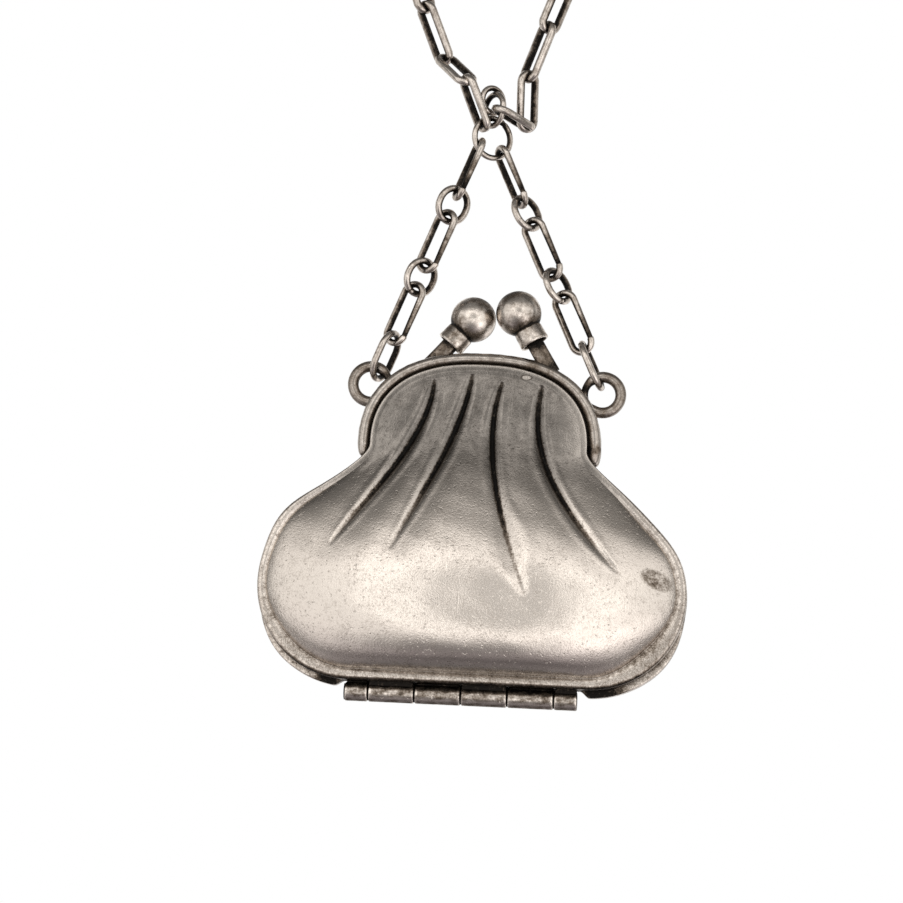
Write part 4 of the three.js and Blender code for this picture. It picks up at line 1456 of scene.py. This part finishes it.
def chain_tree():
    """Geometry nodes that draw a link of its own size and turn at each point."""
    tree = bpy.data.node_groups.new("Chain links", "GeometryNodeTree")
    board = Board(tree)
    for label, kind in CHAIN_INPUTS:
        tree.interface.new_socket(label, in_out="INPUT", socket_type=kind)
    tree.interface.new_socket("Links", in_out="OUTPUT", socket_type="NodeSocketGeometry")
    start = board.add("NodeGroupInput", {}, {}).output.node
    inputs = [Socket(board, output) for output in start.outputs[:len(CHAIN_INPUTS)]]
    places, ring_steps, wire_sides, squareness, finish = inputs
    here = board.add("GeometryNodeInputPosition", {}, {})

    def stored(geometry, name, value, kind, domain="POINT"):
        values = {"Geometry": geometry, "Name": name, "Value": value}
        settings = {"data_type": kind, "domain": domain}
        return board.add("GeometryNodeStoreNamedAttribute", settings, values)

    def named(name, kind):
        return board.add("GeometryNodeInputNamedAttribute", {"data_type": kind}, {"Name": name})

    # A round link of unit size, which keeps its own directions at each point
    ring = board.add("GeometryNodeCurvePrimitiveCircle", {}, {"Resolution": ring_steps, "Radius": 1.0})
    ring = stored(ring, "ring_dir", here, "FLOAT_VECTOR")
    ring = stored(ring, "ring_share", board.add("GeometryNodeSplineParameter", {}, {}), "FLOAT")
    section = {"Resolution": wire_sides, "Radius": UNIT_WIRE}
    wire = board.add("GeometryNodeCurvePrimitiveCircle", {}, section)
    x, y, z = board.parts(here)
    square = ((abs(x) ** 4.0) + (abs(y) ** 4.0)) ** -0.25 * UNIT_WIRE
    scaled = board.scaled(here, 1 + (square - 1) * squareness)
    wire = board.add("GeometryNodeSetPosition", {}, {"Geometry": wire, "Position": scaled})
    link = board.add("GeometryNodeCurveToMesh", {}, {"Curve": ring, "Profile Curve": wire})
    offset = board.vector("SUBTRACT", here, named("ring_dir", "FLOAT_VECTOR"))
    link = stored(link, "wire_off", offset, "FLOAT_VECTOR")

    # A link on each point, which keeps its place because it is drawn out after it is realized
    placed = board.add("GeometryNodeInstanceOnPoints", {}, {"Points": places, "Instance": link})
    placed = stored(placed, "link_centre", here, "FLOAT_VECTOR", "INSTANCE")
    solid = board.add("GeometryNodeRealizeInstances", {}, {"Geometry": placed})

    # Each link drawn out to its own length, width and wire, with a notch at its seam
    along, across = named("along", "FLOAT_VECTOR"), named("across", "FLOAT_VECTOR")
    dir_x, dir_y, dir_z = board.parts(named("ring_dir", "FLOAT_VECTOR"))
    off_x, off_y, off_z = board.parts(named("wire_off", "FLOAT_VECTOR"))
    notch = (named("ring_share", "FLOAT") - named("seam", "FLOAT")).hill(0.0, SEAM_WIDTH)
    wire_size = named("wire", "FLOAT") / UNIT_WIRE * (1 - SEAM_NOTCH * notch)
    half_width = named("half_width", "FLOAT")
    lengthwise = dir_x * half_width + dir_x.sign() * named("stretch", "FLOAT") + off_x * wire_size
    sideways = dir_y * half_width + off_y * wire_size
    upright = off_z * wire_size
    normal = board.vector("CROSS_PRODUCT", along, across)
    spot = named("link_centre", "FLOAT_VECTOR")
    for direction, amount in ((along, lengthwise), (across, sideways), (normal, upright)):
        spot = board.vector("ADD", spot, board.scaled(direction, amount))
    solid = board.add("GeometryNodeSetPosition", {}, {"Geometry": solid, "Position": spot})

    # Oxide and painted shade on the inner side of the wire and at the ends that hold the next link, and
    # oxide in the seam
    inner = (dir_x * off_x + dir_y * off_y) / -UNIT_WIRE
    held = abs(dir_x).ramp(0.45, 0.95) * inner.ramp(-0.2, 0.7)
    oxide = 0.04 + 0.75 * inner.ramp(-0.2, 0.8) + 0.5 * held + 0.6 * notch
    solid = stored(solid, "oxide", oxide, "FLOAT")
    solid = board.add("GeometryNodeSetShadeSmooth", {}, {"Geometry": solid})
    solid = board.add("GeometryNodeSetMaterial", {}, {"Geometry": solid, "Material": finish})
    board.add("NodeGroupOutput", {}, {"Links": solid})
    return tree


def chain_mesh(name, rows, ring_steps, squareness, finish):
    """Draws links through geometry nodes and returns them as a plain mesh."""
    tree = bpy.data.node_groups.get("Chain links") or chain_tree()
    carrier = bpy.data.objects.new(name + "_places", link_places(name + "_places", rows))
    bpy.context.scene.collection.objects.link(carrier)
    modifier = carrier.modifiers.new("Links", "NODES")
    modifier.node_group = tree
    inputs = {item.name: item.identifier for item in tree.interface.items_tree if item.in_out == "INPUT"}
    modifier[inputs["Ring steps"]] = ring_steps
    modifier[inputs["Wire sides"]] = settings_of("chain").wire_sides
    modifier[inputs["Squareness"]] = squareness
    modifier[inputs["Finish"]] = finish
    depsgraph = bpy.context.evaluated_depsgraph_get()
    mesh = bpy.data.meshes.new_from_object(carrier.evaluated_get(depsgraph), depsgraph=depsgraph)
    mesh.name = name
    carrier.modifiers.clear()
    bpy.data.objects.remove(carrier)
    for key in ("ring_dir", "ring_share", "wire_off", "link_centre", *LINK_VECTORS, *LINK_SIZES):
        layer = mesh.attributes.get(key)
        if layer:
            mesh.attributes.remove(layer)
    if not mesh.polygons:
        raise RuntimeError("the links of " + name + " came out empty")
    return mesh


class PURSE_OT_shells(Operator):
    """Makes the purse's two pleated panels with their hinge knuckles"""

    bl_idname = "purse.shells"
    bl_label = "Panels"

    def execute(self, context):
        shell = settings_of("shell")
        finish = old_silver("panel_silver", dullness=0.03, rough=0.22, patches=1.0, is_panel=True)
        for half in ("front", "back"):
            mesh = joined(half + "_panel_with_knuckles", [panel_mesh(half, shell), *knuckles(half)])
            add_piece(mesh, finish, "purse_" + half, [half + "_shell"])
        return {"FINISHED"}


class PURSE_OT_frames(Operator):
    """Makes the frame wires with their clasp posts and the bail rings"""

    bl_idname = "purse.frames"
    bl_label = "Frames"

    def execute(self, context):
        finish = old_silver("frame_silver", shade=0.66, dullness=0.26, rough=0.2, grit=0.6)
        for half in ("front", "back"):
            meshes = [arch_wire(half), solder_strip(half), post(half)]
            if half == "back":
                meshes += [bail(*place) for place in BAILS.values()]
            mesh = joined(half + "_frame_wire", meshes)
            add_piece(mesh, finish, "purse_" + half, [half + "_frame"])
        return {"FINISHED"}


class PURSE_OT_knobs(Operator):
    """Makes the two balls of the kiss clasp"""

    bl_idname = "purse.knobs"
    bl_label = "Clasp balls"

    def execute(self, context):
        finish = old_silver("ball_silver", shade=1.0, dullness=0.06, rough=0.21, grit=0.45, patches=2.4)
        for half in ("front", "back"):
            mesh = joined(half + "_clasp_ball", [knob(half)])
            add_piece(mesh, finish, "purse_" + half, [half + "_knob"])
        return {"FINISHED"}


class PURSE_OT_pin(Operator):
    """Makes the hinge pin"""

    bl_idname = "purse.pin"
    bl_label = "Hinge pin"

    def execute(self, context):
        finish = old_silver("pin_silver", shade=0.8, dullness=0.2, rough=0.35)
        mesh = joined("hinge_pin_bar", [pin()])
        add_piece(mesh, finish, "purse_back", ["hinge_pin"])
        return {"FINISHED"}


class PURSE_OT_handles(Operator):
    """Makes the two handle chains and the rings that join them to the necklace"""

    bl_idname = "purse.handles"
    bl_label = "Handle chains"

    def execute(self, context):
        chain = settings_of("chain")
        finish = old_silver("handle_silver", shade=0.95, dullness=0.16, rough=0.16, grit=0.4)
        rows = [*handle_rows("left"), *handle_rows("right")]
        nodes = ["handle_%s_%s" % (label, row[0]) for label in ("left", "right") for row in HANDLE_CHAIN]
        mesh = chain_mesh("handle_chains", rows, chain.ring_steps, 0.0, finish)
        add_piece(mesh, finish, "chain", nodes)
        mesh = chain_mesh("junction_rings", junction_rows(), chain.ring_steps, 0.0, finish)
        nodes = ["junction_ring_" + place for place in ("front", "rear", "side")]
        add_piece(mesh, finish, "chain", nodes)
        return {"FINISHED"}


class PURSE_OT_necklace(Operator):
    """Makes the two necklace strands and the ring at the nape"""

    bl_idname = "purse.necklace"
    bl_label = "Necklace"

    def execute(self, context):
        chain = settings_of("chain")
        finish = old_silver("necklace_silver", shade=0.95, dullness=0.16, rough=0.16, grit=0.4)
        strands = {"left": (FRONT_RING, FRONT_CENTRE), "right": (REAR_RING, REAR_CENTRE)}
        for label, (ring, centre) in strands.items():
            name = "necklace_strand_" + label
            rows = strand_rows(label, ring, centre)
            mesh = chain_mesh(name, rows, chain.necklace_steps, chain.squareness, finish)
            add_piece(mesh, finish, "chain", ["necklace_" + label])
        mesh = chain_mesh("nape_ring", [clasp_row()], chain.ring_steps, 0.0, finish)
        add_piece(mesh, finish, "chain", ["necklace_clasp"])
        return {"FINISHED"}


# Brightness of the room from straight down to straight up
ROOM_STOPS = (
    (0.0, (0.16, 0.145, 0.15)),
    (0.05, (0.36, 0.325, 0.335)),
    (0.15, (0.72, 0.68, 0.68)),
    (0.29, (1.04, 1.0, 0.98)),
    (0.54, (1.05, 1.03, 1.0)),
    (0.75, (1.08, 1.05, 1.02)),
    (0.81, (0.94, 0.91, 0.88)),
    (0.88, (0.36, 0.348, 0.332)),
    (0.93, (0.24, 0.232, 0.222)),
    (1.0, (0.2, 0.195, 0.19)),
)

# Ovals of the room, in degrees round the object and up from its level: their middles and half sizes
GLOW = ((4.0, 8.0), (27.0, 20.0))
GLOW_TILT = 0.22
LOW_SHADE = ((-14.0, -44.0), (46.0, 29.0))
LOW_LAMP = ((46.0, -33.0), (27.0, 25.0))
HIGH_NOTCH = ((3.0, 27.0), (13.0, 14.0))

# How much brighter or darker the room is there, and at its two sides and its back
ROOM_GAIN = 1.1
GLOW_RIM = 0.78
GLOW_MIDDLE = 0.5
NOTCH_DARK = 0.42
SHADE_DARK = 0.62
LAMP_BRIGHT = 0.85
SIDE_DARK = 0.86
SIDE_DEG = (74.0, 90.0)
BACK_DARK = 0.28

# How far the dark ceiling comes down on the left and on the right, and between which degrees
LEFT_CEILING = (0.17, (22.0, 55.0))
RIGHT_CEILING = (0.07, (30.0, 60.0))

# The floor in metres, and the panel of light over it, which the metal doesn't mirror
FLOOR_LIGHT_DEG = 89
FLOOR_LIGHT_HEIGHT = 1.2
FLOOR_LIGHT_SIZE = 2.5
FLOOR_LIGHT_RADIANCE = 0.8
FLOOR_SIZE = 4.0
FLECK_SHADE = 0.97


def view_direction(azimuth, elevation):
    """Direction from the object to a viewer."""
    level = math.cos(elevation)
    return Vector((math.sin(azimuth) * level, -math.cos(azimuth) * level, math.sin(elevation)))


def view_axes(stage):
    """The camera's right, up and backward directions."""
    roll = stage.roll
    back = view_direction(stage.azimuth, stage.elevation)
    right = Vector((math.cos(stage.azimuth), math.sin(stage.azimuth), 0))
    up = back.cross(right)
    rolled_right = right * math.cos(roll) + up * math.sin(roll)
    rolled_up = up * math.cos(roll) - right * math.sin(roll)
    return rolled_right, rolled_up, back


def add_camera(stage, target):
    right, up, back = view_axes(stage)
    data = bpy.data.cameras.new("camera")
    data.sensor_width = SENSOR_WIDTH
    data.lens = SENSOR_WIDTH * stage.distance / stage.view_width
    data.clip_start = 0.01
    camera = bpy.data.objects.new("camera", data)
    bpy.context.scene.collection.objects.link(camera)
    aim_x = (AIM_PIXEL[0] - IMAGE_SIZE / 2) / IMAGE_SIZE * stage.view_width
    aim_y = (IMAGE_SIZE / 2 - AIM_PIXEL[1]) / IMAGE_SIZE * stage.view_width
    place = target + back * stage.distance - right * aim_x - up * aim_y
    camera.matrix_world = Matrix.Translation(place) @ Matrix((right, up, back)).transposed().to_4x4()
    bpy.context.scene.camera = camera


def add_floor_light():
    """A soft panel of light over the floor. Radiance is its brightness as the floor sees it."""
    back = view_direction(0.0, math.radians(FLOOR_LIGHT_DEG))
    data = bpy.data.lights.new("floor_light", "AREA")
    data.shape = "RECTANGLE"
    data.size = FLOOR_LIGHT_SIZE
    data.size_y = FLOOR_LIGHT_SIZE
    data.energy = FLOOR_LIGHT_RADIANCE * math.pi * FLOOR_LIGHT_SIZE * FLOOR_LIGHT_SIZE
    light = bpy.data.objects.new("floor_light", data)
    bpy.context.scene.collection.objects.link(light)
    facing = back.to_track_quat("Z", "Y").to_matrix().to_4x4()
    light.matrix_world = Matrix.Translation(back * FLOOR_LIGHT_HEIGHT) @ facing
    light.visible_camera = False
    light.visible_glossy = False


def room_gain(around, upward, y):
    """How much brighter or darker the room is than its plain bands, by direction in degrees."""
    glow = oval(around, upward + GLOW_TILT * around, *GLOW) ** 0.5
    shade = 1 - (oval(around, upward, *LOW_SHADE) ** 0.5).ramp(0.3, 1.05)
    lamp = 1 - (oval(around, upward, *LOW_LAMP) ** 0.5).ramp(0.25, 1.0)
    notch = 1 - (oval(around, upward, *HIGH_NOTCH) ** 0.5).ramp(0.2, 1.0)
    gain = ROOM_GAIN + GLOW_RIM * glow.hill(1.1, 0.45) - GLOW_MIDDLE * (1 - glow.ramp(0.3, 0.9))
    gain = (gain - NOTCH_DARK * notch) * (1 - SHADE_DARK * shade) * (1 + LAMP_BRIGHT * lamp)
    return gain * (1 - SIDE_DARK * abs(around).ramp(*SIDE_DEG)) * (1 - BACK_DARK * y.ramp(-0.2, 0.3))


def add_world():
    """White behind the object, and for its reflections a pale tent that is dark overhead and below."""
    world = bpy.data.worlds.new("soft room")
    world.use_nodes = True
    bpy.context.scene.world = world
    board = Board(world.node_tree)
    x, y, z = board.parts(board.add("ShaderNodeTexCoord", {}, {}, 0))
    around = x.maths("ARCTAN2", x, abs(y)) / math.radians(1)
    upward = z.maths("ARCSINE", z) / math.radians(1)
    left = LEFT_CEILING[0] * (-1 * around).ramp(*LEFT_CEILING[1])
    right = RIGHT_CEILING[0] * around.ramp(*RIGHT_CEILING[1])
    lowered = (left + right) * z.ramp(0.0, 0.5)
    room = board.add("ShaderNodeValToRGB", {"stops": ROOM_STOPS}, {0: (z + lowered) * 0.5 + 0.5})
    lit = board.scaled(room, room_gain(around, upward, y))
    seen = board.add("ShaderNodeLightPath", {}, {}, 0)
    tone = board.mix(seen, lit, colour((1.0, 1.0, 1.0)))
    back = board.add("ShaderNodeBackground", {}, {"Color": tone, "Strength": 1.0})
    board.add("ShaderNodeOutputWorld", {}, {"Surface": back})


def add_floor(stage):
    shape = bmesh.new()
    bmesh.ops.create_grid(shape, x_segments=1, y_segments=1, size=FLOOR_SIZE)
    mesh = bpy.data.meshes.new("floor")
    shape.to_mesh(mesh)
    shape.free()
    mesh.transform(Matrix.Translation((0, 0, stage.floor_height)))
    material, board = new_material("floor_paper")
    where = board.add("ShaderNodeTexCoord", {}, {}, 3)
    fleck = board.noise(where, 40.0, 3.0)
    darker = colour([FLECK_SHADE * value for value in stage.floor_colour])
    board.surface({"Base Color": board.mix(fleck, colour(stage.floor_colour), darker), "Roughness": 0.9})
    mesh.materials.append(material)
    floor = bpy.data.objects.new("floor", mesh)
    bpy.context.scene.collection.objects.link(floor)
    floor.visible_glossy = False


class PURSE_OT_stage(Operator):
    """Makes the floor, the soft light and the camera"""

    bl_idname = "purse.stage"
    bl_label = "Stage"

    def execute(self, context):
        stage = settings_of("stage")
        target = Vector((0, 0, (PURSE_Z + NECK_Z) * MM))
        add_camera(stage, target)
        add_world()
        add_floor(stage)
        add_floor_light()
        context.scene.view_settings.view_transform = "Standard"
        return {"FINISHED"}


class PURSE_PT_panel(Panel):
    """Lists the pieces of the necklace"""

    bl_idname = "PURSE_PT_panel"
    bl_label = "Purse Necklace"
    bl_space_type = "VIEW_3D"
    bl_region_type = "UI"
    bl_category = "Purse Necklace"

    def draw(self, context):
        for operator in OPERATORS:
            self.layout.operator(operator.bl_idname)
        for name, group in GROUPS.items():
            settings = settings_of(name)
            for key in group.__annotations__:
                self.layout.prop(settings, key)


GROUPS = {
    "shell": ShellSettings,
    "finish": FinishSettings,
    "chain": ChainSettings,
    "stage": StageSettings,
}
OPERATORS = (
    PURSE_OT_stage,
    PURSE_OT_shells,
    PURSE_OT_frames,
    PURSE_OT_knobs,
    PURSE_OT_pin,
    PURSE_OT_handles,
    PURSE_OT_necklace,
)


def register():
    for kind in (*GROUPS.values(), *OPERATORS, PURSE_PT_panel):
        bpy.utils.register_class(kind)
    for name, group in GROUPS.items():
        setattr(bpy.types.Scene, "purse_necklace_" + name, PointerProperty(type=group))


def unregister():
    for name in GROUPS:
        delattr(bpy.types.Scene, "purse_necklace_" + name)
    for kind in (PURSE_PT_panel, *reversed(OPERATORS), *reversed(GROUPS.values())):
        bpy.utils.unregister_class(kind)


def main():
    register()
    bpy.ops.purse.stage()
    bpy.ops.purse.shells()
    bpy.ops.purse.frames()
    bpy.ops.purse.knobs()
    bpy.ops.purse.pin()
    bpy.ops.purse.handles()
    bpy.ops.purse.necklace()


if __name__ == "__main__":
    main()
